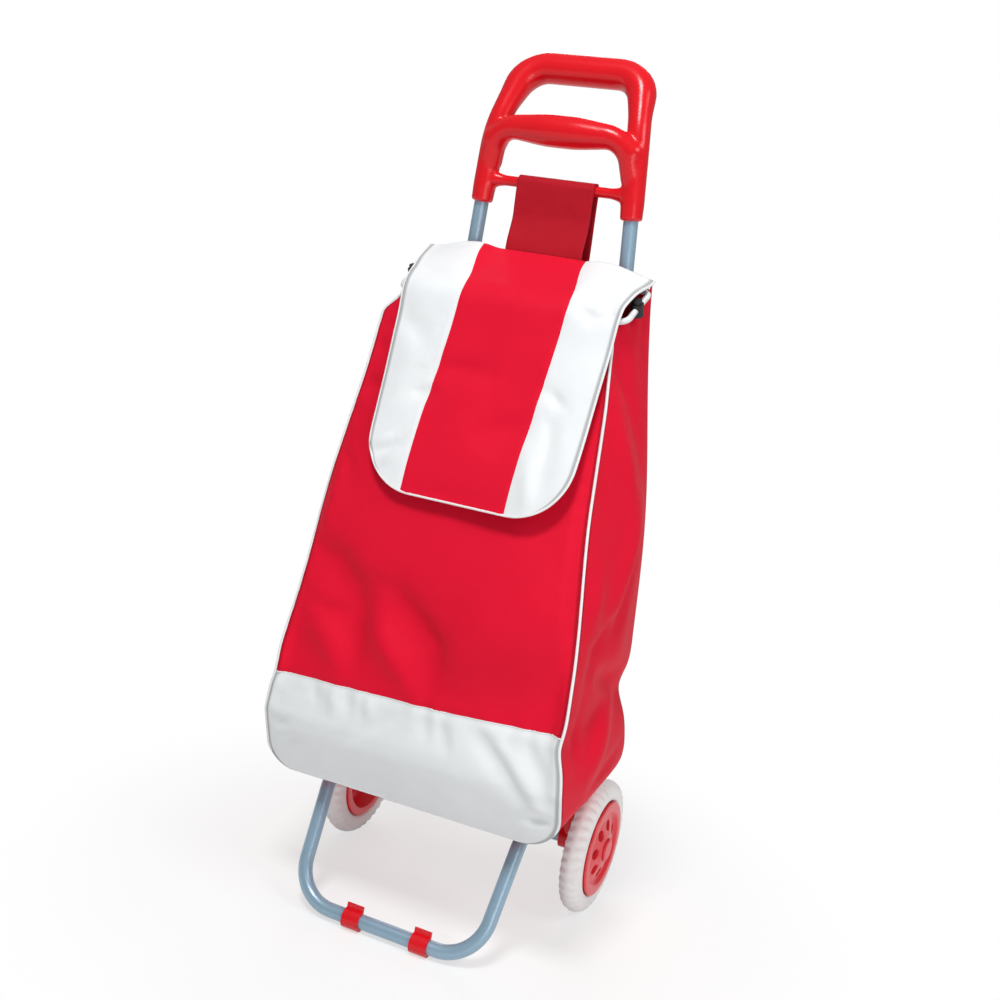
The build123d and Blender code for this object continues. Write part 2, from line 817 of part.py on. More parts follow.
with BuildPart() as strap_loop:
    with BuildLine() as strap_line:
        FilletPolyline(
            (0, y_at(strap_foot_reach), strap_foot_height),
            (0, y_at(strap_radius), back_top_height + strap_front_bend_rise),
            (0, y_at(strap_radius), crossbar_height + strap_radius),
            (0, y_at(-strap_radius), crossbar_height + strap_radius),
            (0, y_at(-strap_radius), back_top_height - strap_back_bend_drop),
            (0, y_at(strap_end_reach), back_top_height - strap_back_end_drop),
            radius=[strap_bend, strap_turn, strap_turn, strap_bend],
        )
    with BuildSketch(Plane(origin=strap_line.line @ 0, x_dir=(1, 0, 0), z_dir=strap_line.line % 0)):
        Rectangle(strap_width, cloth)
    sweep()
save(strap_loop, "strap_loop")

# Hem sleeves and the drawstring that runs through them
for name, reach, height in (
    ("front_hem", hem_front_reach, hem_front_height),
    ("back_hem", hem_back_reach, hem_back_height),
):
    with BuildPart() as hem:
        with BuildSketch(Plane.YZ.offset(-hem_half_length)):
            with Locations((y_at(reach), height)):
                Circle(hem_radius)
                Circle(cord_radius + cord_gap, mode=Mode.SUBTRACT)
        extrude(amount=2 * hem_half_length)
    save(hem, name)

with BuildPart() as drawstring:
    front_corner = (cord_half_width, y_at(hem_front_reach), hem_front_height)
    back_corner = (cord_half_width, y_at(hem_back_reach), hem_back_height)
    with BuildLine() as cord_line:
        FilletPolyline(
            front_corner,
            back_corner,
            (-cord_half_width, back_corner[1], back_corner[2]),
            (-cord_half_width, front_corner[1], front_corner[2]),
            radius=cord_corner,
            close=True,
        )
    with BuildSketch(Plane(origin=cord_line.line @ 0, z_dir=cord_line.line % 0)):
        Circle(cord_radius)
    sweep()
save(drawstring, "drawstring")

# Cord locks on the drawstring's two sides: a barrel and its push button
lock_bore_radius = lock_radius - lock_wall
lock_hole_radius = cord_radius + cord_gap
button_radius = lock_bore_radius - button_fit
button_bottom = -lock_below + lock_floor + button_travel + cord_gap
slot_top = lock_hole_radius + button_travel

for side, word in sides:
    lock_center = Vector(side * cord_half_width, y_at(lock_reach), cord_height(lock_reach))
    lock_plane = Plane(origin=lock_center, x_dir=(1, 0, 0), z_dir=mouth_normal)
    hole_plane = Plane(origin=lock_center, x_dir=(1, 0, 0), z_dir=mouth_along)
    with BuildPart() as lock_barrel:
        with BuildSketch(lock_plane.offset(-lock_below)):
            Circle(lock_radius)
        extrude(amount=lock_below + lock_above)
        with BuildSketch(lock_plane.offset(-lock_below + lock_floor)):
            Circle(lock_bore_radius)
        extrude(amount=lock_below + lock_above, mode=Mode.SUBTRACT)
        with BuildSketch(hole_plane):
            Circle(lock_hole_radius)
        extrude(amount=lock_radius * 2, both=True, mode=Mode.SUBTRACT)
    save(lock_barrel, f"{word}_lock_barrel")

    with BuildPart() as lock_button:
        with BuildSketch(lock_plane.offset(button_bottom)):
            Circle(button_radius)
        extrude(amount=lock_above + button_above - button_bottom)
        with BuildSketch(lock_plane.offset(button_bottom)):
            Rectangle(2 * lock_hole_radius, 2 * lock_radius)
        extrude(amount=slot_top - button_bottom, mode=Mode.SUBTRACT)
    save(lock_button, f"{word}_lock_button")

# Flap: a top part hinged at the back and a front part hinged at the fold
flap_hinge_height = back_top_height + flap_hinge_rise
flap_fold_height = mouth_front_height + flap_fold_rise
flap_bottom_height = flap_fold_height - flap_front_drop
flap_bottom_reach = panel_reach(flap_bottom_height) + flap_stand_off
flap_back_half_width = mouth_half_width - flap_back_inset
flap_fold_half_width = mouth_half_width - flap_fold_inset
flap_bottom_half_width = mouth_half_width - flap_bottom_inset
flap_top_run = Vector(0, flap_hinge_reach - flap_fold_reach, flap_fold_height - flap_hinge_height)
flap_front_run = Vector(0, flap_fold_reach - flap_bottom_reach, flap_bottom_height - flap_fold_height)
fold_turn = flap_top_run.get_angle(flap_front_run) * pi / 180
fold_room = flap_cloth / 2 * tan(fold_turn / 2) + flap_fold_play
flap_edge_room = flap_piping_radius + flap_piping_gap
flap_top_plane = Plane(
    origin=(0, y_at(flap_hinge_reach), flap_hinge_height),
    x_dir=(1, 0, 0),
    z_dir=Vector(1, 0, 0).cross(flap_top_run),
)
flap_front_plane = Plane(
    origin=(0, y_at(flap_fold_reach), flap_fold_height),
    x_dir=(1, 0, 0),
    z_dir=Vector(1, 0, 0).cross(flap_front_run),
)
flap_top_length = flap_top_run.length
flap_front_length = flap_front_run.length
stripe_edge = flap_stripe_half_width
stripes = (
    ("left_band", -2 * flap_back_half_width, -stripe_edge - seam_gap),
    ("centre", -stripe_edge, stripe_edge),
    ("right_band", stripe_edge + seam_gap, 2 * flap_back_half_width),
)

for name, start, end in stripes:
    strip_middle = (start + end) / 2
    with BuildPart() as top_strip:
        with BuildSketch(flap_top_plane):
            with BuildLine():
                Polyline(
                    (flap_back_half_width - flap_edge_room, flap_hinge_gap),
                    (flap_fold_half_width - flap_edge_room, flap_top_length - fold_room),
                    (flap_edge_room - flap_fold_half_width, flap_top_length - fold_room),
                    (flap_edge_room - flap_back_half_width, flap_hinge_gap),
                    close=True,
                )
            make_face()
            with Locations((strip_middle, flap_top_length / 2)):
                Rectangle(end - start, 2 * flap_top_length, mode=Mode.INTERSECT)
        extrude(amount=flap_cloth / 2, both=True)
    save(top_strip, f"flap_top_{name}")

    with BuildPart() as front_strip:
        bottom = flap_front_length - flap_edge_room
        with BuildSketch(flap_front_plane):
            with BuildLine():
                FilletPolyline(
                    (flap_fold_half_width - flap_edge_room, fold_room),
                    (flap_bottom_half_width - flap_edge_room, bottom),
                    (flap_edge_room - flap_bottom_half_width, bottom),
                    (flap_edge_room - flap_fold_half_width, fold_room),
                    radius=[flap_corner - flap_edge_room, flap_corner - flap_edge_room],
                )
                Line(
                    (flap_edge_room - flap_fold_half_width, fold_room),
                    (flap_fold_half_width - flap_edge_room, fold_room),
                )
            make_face()
            with Locations((strip_middle, flap_front_length / 2)):
                Rectangle(end - start, 2 * flap_front_length, mode=Mode.INTERSECT)
        extrude(amount=flap_cloth / 2, both=True)
    save(front_strip, f"flap_front_{name}")

with BuildPart() as flap_top_piping:
    for side, word in sides:
        with BuildLine(flap_top_plane) as edge_line:
            Line(
                (side * flap_back_half_width, flap_hinge_gap),
                (side * flap_fold_half_width, flap_top_length - fold_room),
            )
        with BuildSketch(Plane(origin=edge_line.line @ 0, z_dir=edge_line.line % 0)):
            Circle(flap_piping_radius)
        sweep(path=edge_line.line)
save(flap_top_piping, "flap_top_piping")

with BuildPart() as flap_front_piping:
    with BuildLine(flap_front_plane) as hem_line:
        FilletPolyline(
            (flap_fold_half_width, fold_room),
            (flap_bottom_half_width, flap_front_length),
            (-flap_bottom_half_width, flap_front_length),
            (-flap_fold_half_width, fold_room),
            radius=[flap_corner, flap_corner],
        )
    with BuildSketch(Plane(origin=hem_line.line @ 0, z_dir=hem_line.line % 0)):
        Circle(flap_piping_radius)
    sweep()
save(flap_front_piping, "flap_front_piping")
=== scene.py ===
"""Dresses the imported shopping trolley: its cloth bag, flap, moulded handle, wheels and finishes.

Lengths are in metres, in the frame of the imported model: +X to the right of someone facing the
front, +Y backwards and +Z up. A reach is a distance in front of the axle.
"""

import json
from math import atan2, cos, exp, hypot, pi, sin, sqrt

import bmesh
import bpy
from bpy.props import FloatProperty, FloatVectorProperty, IntProperty, PointerProperty
from mathutils import Matrix, Vector, noise


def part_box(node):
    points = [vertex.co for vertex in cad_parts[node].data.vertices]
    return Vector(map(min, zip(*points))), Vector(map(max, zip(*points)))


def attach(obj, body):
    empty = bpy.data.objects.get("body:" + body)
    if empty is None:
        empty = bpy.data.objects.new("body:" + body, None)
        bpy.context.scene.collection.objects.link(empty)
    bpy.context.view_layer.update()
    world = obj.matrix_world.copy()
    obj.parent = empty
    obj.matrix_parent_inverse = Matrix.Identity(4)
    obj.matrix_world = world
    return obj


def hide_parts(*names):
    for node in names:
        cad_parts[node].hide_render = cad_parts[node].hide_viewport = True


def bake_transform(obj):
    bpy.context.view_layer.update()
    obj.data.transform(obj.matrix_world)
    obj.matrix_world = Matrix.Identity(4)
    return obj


bl_info = {
    "name": "Shopping Trolley",
    "version": (1, 0, 0),
    "blender": (4, 5, 0),
    "location": "3D View > Sidebar > Trolley",
    "description": "Makes the bag, flap, handle, wheels and finishes of a shopping trolley",
    "category": "Object",
}

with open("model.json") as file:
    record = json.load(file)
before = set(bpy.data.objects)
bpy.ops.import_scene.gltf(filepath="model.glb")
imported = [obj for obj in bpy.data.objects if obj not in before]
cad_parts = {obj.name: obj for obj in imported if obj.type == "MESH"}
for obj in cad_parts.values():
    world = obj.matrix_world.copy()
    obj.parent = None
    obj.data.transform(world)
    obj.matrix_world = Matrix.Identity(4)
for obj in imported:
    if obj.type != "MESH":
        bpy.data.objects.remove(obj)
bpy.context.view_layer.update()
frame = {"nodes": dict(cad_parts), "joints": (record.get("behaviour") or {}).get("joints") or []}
JOINTS = {joint["name"]: joint for joint in frame["joints"]}
SIDES = ((-1, "left"), (1, "right"))

# Lines taken from the frame
AXLE = Vector(JOINTS["right_wheel_spin"]["pos_m"])
HINGE = Vector(JOINTS["flap_lift"]["pos_m"])
FOLD = Vector(JOINTS["flap_fold"]["pos_m"])

# The bag's outline, at the middle of the cloth
CLOTH = 0.001
BAG_PIPE = 0.0023
CORD_RADIUS = 0.00325
MOUTH_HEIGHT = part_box("upper_front_panel")[1].z
SEAM_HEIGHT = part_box("upper_front_panel")[0].z
BACK_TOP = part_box("back_panel")[1].z
BACK_REACH = AXLE.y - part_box("back_panel")[1].y + 0.001
BELLY_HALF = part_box("bottom_band")[1].x - 0.001
BELLY_REACH = AXLE.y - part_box("bag_piping")[0].y - BAG_PIPE
BASE_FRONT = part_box("bag_piping")[0].z + BAG_PIPE
BASE_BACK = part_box("back_panel")[0].z + 0.001
MOUTH_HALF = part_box("drawstring")[1].x - CORD_RADIUS + 0.001
MOUTH_REACH = 0.088
BASE_REACH = 0.181
BELLY_LOW = 0.215
FRONT_CORNER = 0.038
FRONT_CORNER_TOP = BASE_FRONT + FRONT_CORNER * 0.96
BACK_CORNER = 0.050
MOUTH_BACK_CORNER = 0.712
CORNER_START = 0.84
SEAM_TILT = 0.0085
EDGE_TILT = SEAM_TILT - 0.0055

# Painted shade beside a seam, for the piping's shadow and the seam's own dark line: how far distances are
# kept, where it starts, where it is full and how dark it gets
SEAM_SHADE = 0.016
SHADE_START = 0.0062
SHADE_FULL = 0.0028
SHADE_MOST = 0.62

# The flap's outline
FLAP_PIPE = 0.0018
FLAP_BOTTOM_REACH = AXLE.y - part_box("flap_front_piping")[0].y - FLAP_PIPE
FLAP_BOTTOM_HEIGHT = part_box("flap_front_piping")[0].z + FLAP_PIPE
FLAP_BACK_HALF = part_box("flap_top_piping")[1].x - FLAP_PIPE + 0.007
FLAP_FOLD_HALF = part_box("flap_front_piping")[1].x - FLAP_PIPE
FLAP_BOTTOM_HALF = FLAP_FOLD_HALF - 0.008
FLAP_CORNER = 0.058
FLAP_STRIPE_HALF = 0.0605
FLAP_STRIPE_SHARE = 0.46
FLAP_FOLD_ROUND = 0.017
FLAP_CORNER_START = 0.80

# The hems at the mouth
HEM_RADIUS = 0.0052
HEM_RIPPLE = 0.0006
HEM_INSET = 0.006

# The strap loop: the shares of its length in one layer, in the bend over the bar and before the back layer,
# the radius of the bend, and the reach of both layers where they are sewn on
STRAP_LAYER = 0.42
STRAP_BEND = 0.16
STRAP_BACK = 0.58
STRAP_LOOP = 0.0075
STRAP_FRONT_REACH = 0.0163
STRAP_BACK_REACH = 0.0139


def at(x, reach, z):
    """A point of the frame from its reach in front of the axle."""
    return Vector((x, AXLE.y - reach, z))


def mirrored(point, side=-1):
    """A point of the right half, carried to the given side of the trolley's middle."""
    return Vector((side * point.x, point.y, point.z))


def lerp(start, end, share):
    """The value at a share of the way from start to end."""
    return start + (end - start) * share


def shares(count):
    """Even shares from 0 to 1."""
    return [step / count for step in range(count + 1)]


def ease(start, end, value):
    """0 before start, 1 after end and a smooth step between them."""
    share = min(1.0, max(0.0, (value - start) / (end - start)))
    return share * share * (3 - 2 * share)


def hump(middle, width, value):
    """A soft bump of height 1 round the middle."""
    return exp(-(((value - middle) / width) ** 2))


def quarter_round(down, start, radius):
    """A quarter circle from the share start to 1: the height left to its end, and its inset."""
    angle = (down - start) / (1 - start) * pi / 2
    return radius * (1 - sin(angle)), radius * (1 - cos(angle))


def noise_at(*spot):
    """Smooth noise at a spot, about -1 to 1."""
    return noise.noise(Vector(spot))


def fold_height(x, y, line, left, right):
    """A fold's share of height at a spot of a flat panel.

    It is highest at the middle of the fold's line and fades towards the line's ends. It falls off over
    one width on the line's left and another on its right.
    """
    nearest = None
    count = len(line) - 1
    for index in range(count):
        (ax, ay), (bx, by) = line[index], line[index + 1]
        run_x, run_y = bx - ax, by - ay
        share = ((x - ax) * run_x + (y - ay) * run_y) / (run_x * run_x + run_y * run_y)
        share = min(1.0, max(0.0, share))
        away = hypot(x - ax - run_x * share, y - ay - run_y * share)
        if nearest is None or away < nearest[0]:
            on_left = run_x * (y - ay) - run_y * (x - ax) > 0
            nearest = (away, on_left, (index + share) / count)
    away, on_left, along = nearest
    width = left if on_left else right
    return exp(-((away / width) ** 2)) * sin(pi * (0.12 + 0.76 * along))


def folds_at(x, y, folds):
    """The height of all of a panel's folds at a spot, as a share of the fold depth."""
    return sum(height * fold_height(x, y, line, left, right) for line, left, right, height in folds)


def colour_field(name, description, default):
    """A colour that can be set in the sidebar."""
    return FloatVectorProperty(
        name=name, description=description, subtype="COLOR", default=default, min=0, max=1
    )


def length_field(name, description, default, least=0.0):
    """A length in metres."""
    return FloatProperty(name=name, description=description, default=default, min=least, unit="LENGTH")


def power_field(name, description, default):
    """A lamp's power in watts."""
    return FloatProperty(name=name, description=description, default=default, min=0, unit="POWER")


def angle_field(name, description, default):
    """An angle in radians."""
    return FloatProperty(name=name, description=description, default=default, subtype="ANGLE")


class TrolleyColours(bpy.types.PropertyGroup):
    """Colours of the trolley's finishes."""

    red_cloth: colour_field("Red cloth", "Bag and flap middle", (0.77, 0.006, 0.032))
    # Painted shade: the strap cloth is the bag's red made darker, for the shadow the strap hangs in
    strap_cloth: colour_field("Strap cloth", "Strap loop", (0.47, 0.010, 0.022))
    grey_cloth: colour_field("Grey cloth", "Lower front panel", (0.85, 0.885, 0.895))
    cream_cloth: colour_field("Cream cloth", "Flap side bands", (0.86, 0.885, 0.90))
    piping: colour_field("Piping", "Edge piping and cord", (0.88, 0.89, 0.90))
    red_plastic: colour_field("Red plastic", "Handle, brackets and clips", (0.74, 0.006, 0.014))
    # Painted light: the hub plastic is the handle's red plastic made lighter and pinker, standing in for the
    # light and reflections on the hubs; the axle caps share it
    hub_plastic: colour_field("Hub plastic", "Red plastic of the wheel hubs", (0.80, 0.030, 0.045))
    tube_paint: colour_field("Tube paint", "Painted tubes", (0.28, 0.42, 0.53))
    tyre_foam: colour_field("Tyre foam", "Foam tyres", (0.96, 0.955, 0.93))
    black_plastic: colour_field("Black plastic", "Cord locks", (0.018, 0.018, 0.020))
    board: colour_field("Board", "Stiff base of the bag", (0.03, 0.03, 0.032))


class TrolleySizes(bpy.types.PropertyGroup):
    """Sizes of what the finishes and the soft pieces add to the frame."""

    thread: length_field("Thread", "Spacing of the cloth's threads", 0.0011, 0.0003)
    fold_depth: length_field("Fold depth", "Height of the main folds", 0.0050)
    pucker_depth: length_field("Pucker depth", "Height of the puckers at seams", 0.0009)
    bag_piping: length_field("Bag piping", "Radius of the bag's piping", 0.0016, 0.001)
    flap_piping: length_field("Flap piping", "Radius of the flap's piping", 0.0014, 0.001)
    flap_cloth: length_field("Flap thickness", "Thickness of the lined flap", 0.0022, 0.0005)
    strap_cloth: length_field("Strap thickness", "Thickness of the strap", 0.0016, 0.0005)
    lug_count: IntProperty(name="Lugs", description="Lugs round each tyre", default=40, min=12)
    lug_depth: length_field("Lug depth", "Depth of the wavy tread edge", 0.0022)


class TrolleyView(bpy.types.PropertyGroup):
    """Camera and lights."""

    place: FloatVectorProperty(
        name="Camera place", description="Where the camera stands", subtype="TRANSLATION", unit="LENGTH",
        default=(0.5676, AXLE.y - 1.3782, 0.7781)
    )
    yaw: angle_field("Yaw", "Turn to the left", 0.402)
    pitch: angle_field("Pitch", "Tilt down", 0.214)
    roll: angle_field("Roll", "Lean of the picture", 0.134)
    lens: FloatProperty(name="Lens", description="Focal length in millimetres", default=48.16, min=10)
    key_power: power_field("Key light", "Power of the main lamp", 41)
    fill_power: power_field("Fill light", "Power of the fill lamp", 12)
    low_power: power_field("Low lamp", "Power of the low lamp", 6)
    back_power: power_field("Back lamp", "Power of the lamp behind", 12)
    sky: FloatProperty(name="Sky", description="Strength of the light from all round", default=0.28, min=0)


# Nodes


def fill(tree, node, values):
    """Set or link a node's inputs."""
    for name, value in values.items():
        if isinstance(value, bpy.types.NodeSocket):
            tree.links.new(value, node.inputs[name])
        else:
            node.inputs[name].default_value = value


def put(tree, kind, values=None, **attributes):
    """Add a node, set its attributes, and set or link its inputs."""
    node = tree.nodes.new(kind)
    for name, value in attributes.items():
        setattr(node, name, value)
    fill(tree, node, values or {})
    return node


def math_of(tree, operation, first, second=0.0):
    """A Math node's result."""
    return put(tree, "ShaderNodeMath", {0: first, 1: second}, operation=operation).outputs[0]


def spread(tree, value, base, extent):
    """A value from 0 to 1 spread over an extent above a base."""
    return put(tree, "ShaderNodeMath", {0: value, 1: extent, 2: base}, operation="MULTIPLY_ADD").outputs[0]


def make_group(name, inputs, outputs):
    """A new shader node group with its sockets, and its two end nodes."""
    group = bpy.data.node_groups.new(name, "ShaderNodeTree")
    for label, kind, default in inputs:
        socket = group.interface.new_socket(label, in_out="INPUT", socket_type=kind)
        if default is not None:
            socket.default_value = default
    for label, kind in outputs:
        group.interface.new_socket(label, in_out="OUTPUT", socket_type=kind)
    start = group.nodes.new("NodeGroupInput").outputs
    end = group.nodes.new("NodeGroupOutput")
    return group, start, end


def weave_group():
    """Plain weave: threads that pass over and under each other, as a height and a tone: the yarn's random
    tone with painted shade where the threads dip.
    """
    found = bpy.data.node_groups.get("plain weave")
    if found:
        return found
    inputs = (("Vector", "NodeSocketVector", None), ("Thread", "NodeSocketFloat", 0.001))
    outputs = (("Height", "NodeSocketFloat"), ("Tone", "NodeSocketFloat"))
    group, start, end = make_group("plain weave", inputs, outputs)
    split = put(group, "ShaderNodeSeparateXYZ", {0: start["Vector"]}).outputs
    wave = []
    for axis in (0, 1):
        turns = math_of(group, "DIVIDE", split[axis], start["Thread"])
        wave.append(math_of(group, "SINE", math_of(group, "MULTIPLY", turns, pi)))
    over = math_of(group, "GREATER_THAN", math_of(group, "MULTIPLY", wave[0], wave[1]), 0.0)
    crest = [math_of(group, "MULTIPLY", each, each) for each in wave]
    height = put(group, "ShaderNodeMix", {0: over, 2: crest[0], 3: crest[1]}, data_type="FLOAT").outputs[0]
    strand = put(group, "ShaderNodeTexNoise", {"Vector": start["Vector"], "Scale": 900.0, "Detail": 1.0})
    yarn = spread(group, strand.outputs[0], base=0.65, extent=0.35)
    # Painted shade: the yarn's tone is darker where the threads dip under each other
    shaded = math_of(group, "MULTIPLY", yarn, spread(group, height, base=0.72, extent=0.35))
    fill(group, end, {"Height": height, "Tone": shaded})
    return group


def blotch_group():
    """Soft uneven patches in two sizes, as a value round one half, and the finer ones as a height."""
    found = bpy.data.node_groups.get("uneven patches")
    if found:
        return found
    scales = (("Coarse", "NodeSocketFloat", 12.0), ("Fine", "NodeSocketFloat", 90.0))
    outputs = (("Value", "NodeSocketFloat"), ("Height", "NodeSocketFloat"))
    group, start, end = make_group("uneven patches", (("Vector", "NodeSocketVector", None), *scales), outputs)
    made = []
    for scale, detail in (("Coarse", 2.0), ("Fine", 3.0)):
        values = {"Vector": start["Vector"], "Scale": start[scale], "Detail": detail}
        made.append(put(group, "ShaderNodeTexNoise", values).outputs[0])
    coarse, fine = made
    value = put(group, "ShaderNodeMix", {0: 0.35, 2: coarse, 3: fine}, data_type="FLOAT").outputs[0]
    fill(group, end, {"Value": value, "Height": fine})
    return group


def patches(tree, coords, coarse, fine):
    """The outputs of uneven patches of two scales on a piece."""
    values = {"Vector": coords["Object"], "Coarse": coarse, "Fine": fine}
    return put(tree, "ShaderNodeGroup", values, node_tree=blotch_group()).outputs


def start_material(name):
    """A new node material: its tree, its Principled shader and its texture coordinates."""
    material = bpy.data.materials.new(name)
    material.use_nodes = True
    tree = material.node_tree
    return material, tree, tree.nodes["Principled BSDF"], put(tree, "ShaderNodeTexCoord").outputs


def scaled(base, factor):
    """A colour made darker or lighter."""
    return tuple(min(1.0, part * factor) for part in base[:3]) + (1.0,)


def tint(tree, factor, dark, light):
    """A colour between dark and light."""
    return put(tree, "ShaderNodeMix", {0: factor, 6: dark, 7: light}, data_type="RGBA").outputs[2]


def cloudy(tree, patch, base, low, high):
    """A colour that its patches make lower and higher than its base."""
    return tint(tree, patch["Value"], scaled(base, low), scaled(base, high))


def bump(tree, height, strength, distance, normal=None):
    """A normal bent by a height, on top of another where one is given."""
    values = {"Height": height, "Strength": strength, "Distance": distance}
    if normal is not None:
        values["Normal"] = normal
    return put(tree, "ShaderNodeBump", values).outputs[0]


def cloth_material(name, base, sheen=0.03, contrast=0.22):
    """Woven polyester: threads along the panel's own UV map with painted shade where they dip, uneven dye,
    painted shade beside seams for the piping's shadow and the seam's dark line, a soft sheen.
    """
    material, tree, shader, coords = start_material(name)
    values = {"Vector": coords["UV"], "Thread": bpy.context.scene.trolley_sizes.thread}
    weave = put(tree, "ShaderNodeGroup", values, node_tree=weave_group()).outputs
    patch = patches(tree, coords, coarse=9.0, fine=60.0)
    # The weave's tone carries painted shade where the threads dip
    threads = tint(tree, weave["Tone"], scaled(base, 1 - contrast), scaled(base, 1 + contrast * 0.45))
    dyed = tint(tree, 0.55, threads, cloudy(tree, patch, base, 0.86, 1.10))
    # Painted shade beside the seams, for the piping's shadow and the seam's own dark line
    near = put(tree, "ShaderNodeAttribute", attribute_name="near_seam").outputs["Fac"]
    limits = {0: near, 1: SEAM_SHADE - SHADE_START, 2: SEAM_SHADE - SHADE_FULL, 4: SHADE_MOST}
    shade = put(tree, "ShaderNodeMapRange", limits, interpolation_type="SMOOTHSTEP").outputs[0]
    creased = bump(tree, patch["Value"], 0.35, 0.004)
    fill(tree, shader, {
        "Base Color": tint(tree, shade, dyed, scaled(base, 0.25)),
        "Roughness": spread(tree, patch["Value"], base=0.5, extent=0.2),
        "Normal": bump(tree, weave["Height"], 0.35, 0.00025, creased),
        "Sheen Weight": sheen,
        "Sheen Roughness": 0.45,
        "Specular IOR Level": 0.09,
    })
    return material


def plastic_material(name, base, roughness=0.24, specular=0.36, grain=0.05):
    """Moulded plastic: a little cloudy, with faint scuffs in its gloss."""
    material, tree, shader, coords = start_material(name)
    patch = patches(tree, coords, coarse=14.0, fine=420.0)
    fill(tree, shader, {
        "Base Color": cloudy(tree, patch, base, 0.88, 1.10),
        "Roughness": spread(tree, patch["Value"], base=roughness - 0.06, extent=0.12),
        "Normal": bump(tree, patch["Height"], grain, 0.0004),
        "Specular IOR Level": specular,
    })
    return material


def paint_material(name, base):
    """Satin powder paint on steel tube, with a fine orange peel."""
    material, tree, shader, coords = start_material(name)
    patch = patches(tree, coords, coarse=18.0, fine=700.0)
    fill(tree, shader, {
        "Base Color": cloudy(tree, patch, base, 0.85, 1.15),
        "Roughness": spread(tree, patch["Value"], base=0.24, extent=0.18),
        "Normal": bump(tree, patch["Height"], 0.12, 0.0003),
        "Metallic": 0.25,
        "Coat Weight": 0.25,
    })
    return material


def steel_material(name):
    """Zinc plated steel, brushed along the axle."""
    material, tree, shader, coords = start_material(name)
    values = {0: coords["Object"], "Scale": (40.0, 900.0, 900.0)}
    stretched = put(tree, "ShaderNodeMapping", values).outputs[0]
    brushed = put(tree, "ShaderNodeTexNoise", {"Vector": stretched, "Scale": 1.0, "Detail": 2.0}).outputs[0]
    fill(tree, shader, {
        "Base Color": tint(tree, brushed, (0.42, 0.42, 0.43, 1), (0.66, 0.66, 0.67, 1)),
        "Roughness": spread(tree, brushed, base=0.25, extent=0.2),
        "Metallic": 1.0,
    })
    return material


def foam_material(name, base):
    """Light foam tyre: fine pores and a little floor dirt."""
    material, tree, shader, coords = start_material(name)
    patch = patches(tree, coords, coarse=22.0, fine=260.0)
    pores = put(tree, "ShaderNodeTexVoronoi", {"Vector": coords["Object"], "Scale": 700.0}).outputs[0]
    soft = bump(tree, patch["Height"], 0.25, 0.0008)
    fill(tree, shader, {
        "Base Color": cloudy(tree, patch, base, 0.84, 1.10),
        "Roughness": spread(tree, patch["Value"], base=0.55, extent=0.2),
        "Normal": bump(tree, pores, 0.25, 0.0003, soft),
    })
    return material


def cord_material(name, base):
    """Braided cord: two sets of strands that wind round it, along the cord's UV map."""
    material, tree, shader, coords = start_material(name)
    split = put(tree, "ShaderNodeSeparateXYZ", {0: coords["UV"]}).outputs
    along = math_of(tree, "MULTIPLY", split[0], 420.0)
    strands = []
    for turns in (8.0, -8.0):
        phase = math_of(tree, "ADD", math_of(tree, "MULTIPLY", split[1], turns), along)
        strands.append(math_of(tree, "SINE", math_of(tree, "MULTIPLY", phase, 2 * pi)))
    braid = math_of(tree, "MAXIMUM", *strands)
    patch = patches(tree, coords, coarse=40.0, fine=300.0)
    fill(tree, shader, {
        "Base Color": cloudy(tree, patch, base, 0.86, 1.08),
        "Roughness": math_of(tree, "ADD", patch["Value"], 0.2),
        "Normal": bump(tree, braid, 0.4, 0.0004),
        "Sheen Weight": 0.2,
    })
    return material


# Each finish: the function that makes it, the name of its colour and its other settings
FINISHES = {
    "red cloth": (cloth_material, "red_cloth", {}),
    # Painted shade: the strap's darker red stands in for the shadow it hangs in
    "strap cloth": (cloth_material, "strap_cloth", {"sheen": 0.04}),
    "grey cloth": (cloth_material, "grey_cloth", {"sheen": 0.05, "contrast": 0.14}),
    "cream cloth": (cloth_material, "cream_cloth", {"sheen": 0.05, "contrast": 0.12}),
    "white piping": (plastic_material, "piping", {"roughness": 0.42}),
    "red plastic": (plastic_material, "red_plastic", {}),
    # Painted light: the hubs' red is made lighter and pinker for the light and reflections on them
    "hub plastic": (plastic_material, "hub_plastic", {"roughness": 0.32, "specular": 0.5}),
    "black plastic": (plastic_material, "black_plastic", {"roughness": 0.42, "grain": 0.2}),
    "base board": (plastic_material, "board", {"roughness": 0.6, "grain": 0.3}),
    "tube paint": (paint_material, "tube_paint", {}),
    "steel": (steel_material, None, {}),
    "tyre foam": (foam_material, "tyre_foam", {}),
    "white cord": (cord_material, "piping", {}),
}


def material_named(name):
    """The finish of that name, made the first time it is asked for."""
    found = bpy.data.materials.get(name)
    if found:
        return found
    make, base, settings = FINISHES[name]
    if base is None:
        return make(name)
    return make(name, getattr(bpy.context.scene.trolley_colours, base), **settings)


# Pieces


def shade_smooth(mesh):
    """Show a mesh without facets."""
    for polygon in mesh.polygons:
        polygon.use_smooth = True


def add_object(name, data):
    """A new object in the scene."""
    made = bpy.data.objects.new(name, data)
    bpy.context.scene.collection.objects.link(made)
    return made


def make_piece(name, bm, finishes, body=None, slot=None, replaces=()):
    """Turn a bmesh into a smooth piece with its finishes, riding on a body in place of CAD nodes."""
    bmesh.ops.recalc_face_normals(bm, faces=bm.faces)
    mesh = bpy.data.meshes.new(name)
    bm.to_mesh(mesh)
    bm.free()
    shade_smooth(mesh)
    piece = add_object(name, mesh)
    for finish in finishes:
        mesh.materials.append(material_named(finish))
    if body:
        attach(piece, body)
    if replaces:
        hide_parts(*replaces)
    return piece


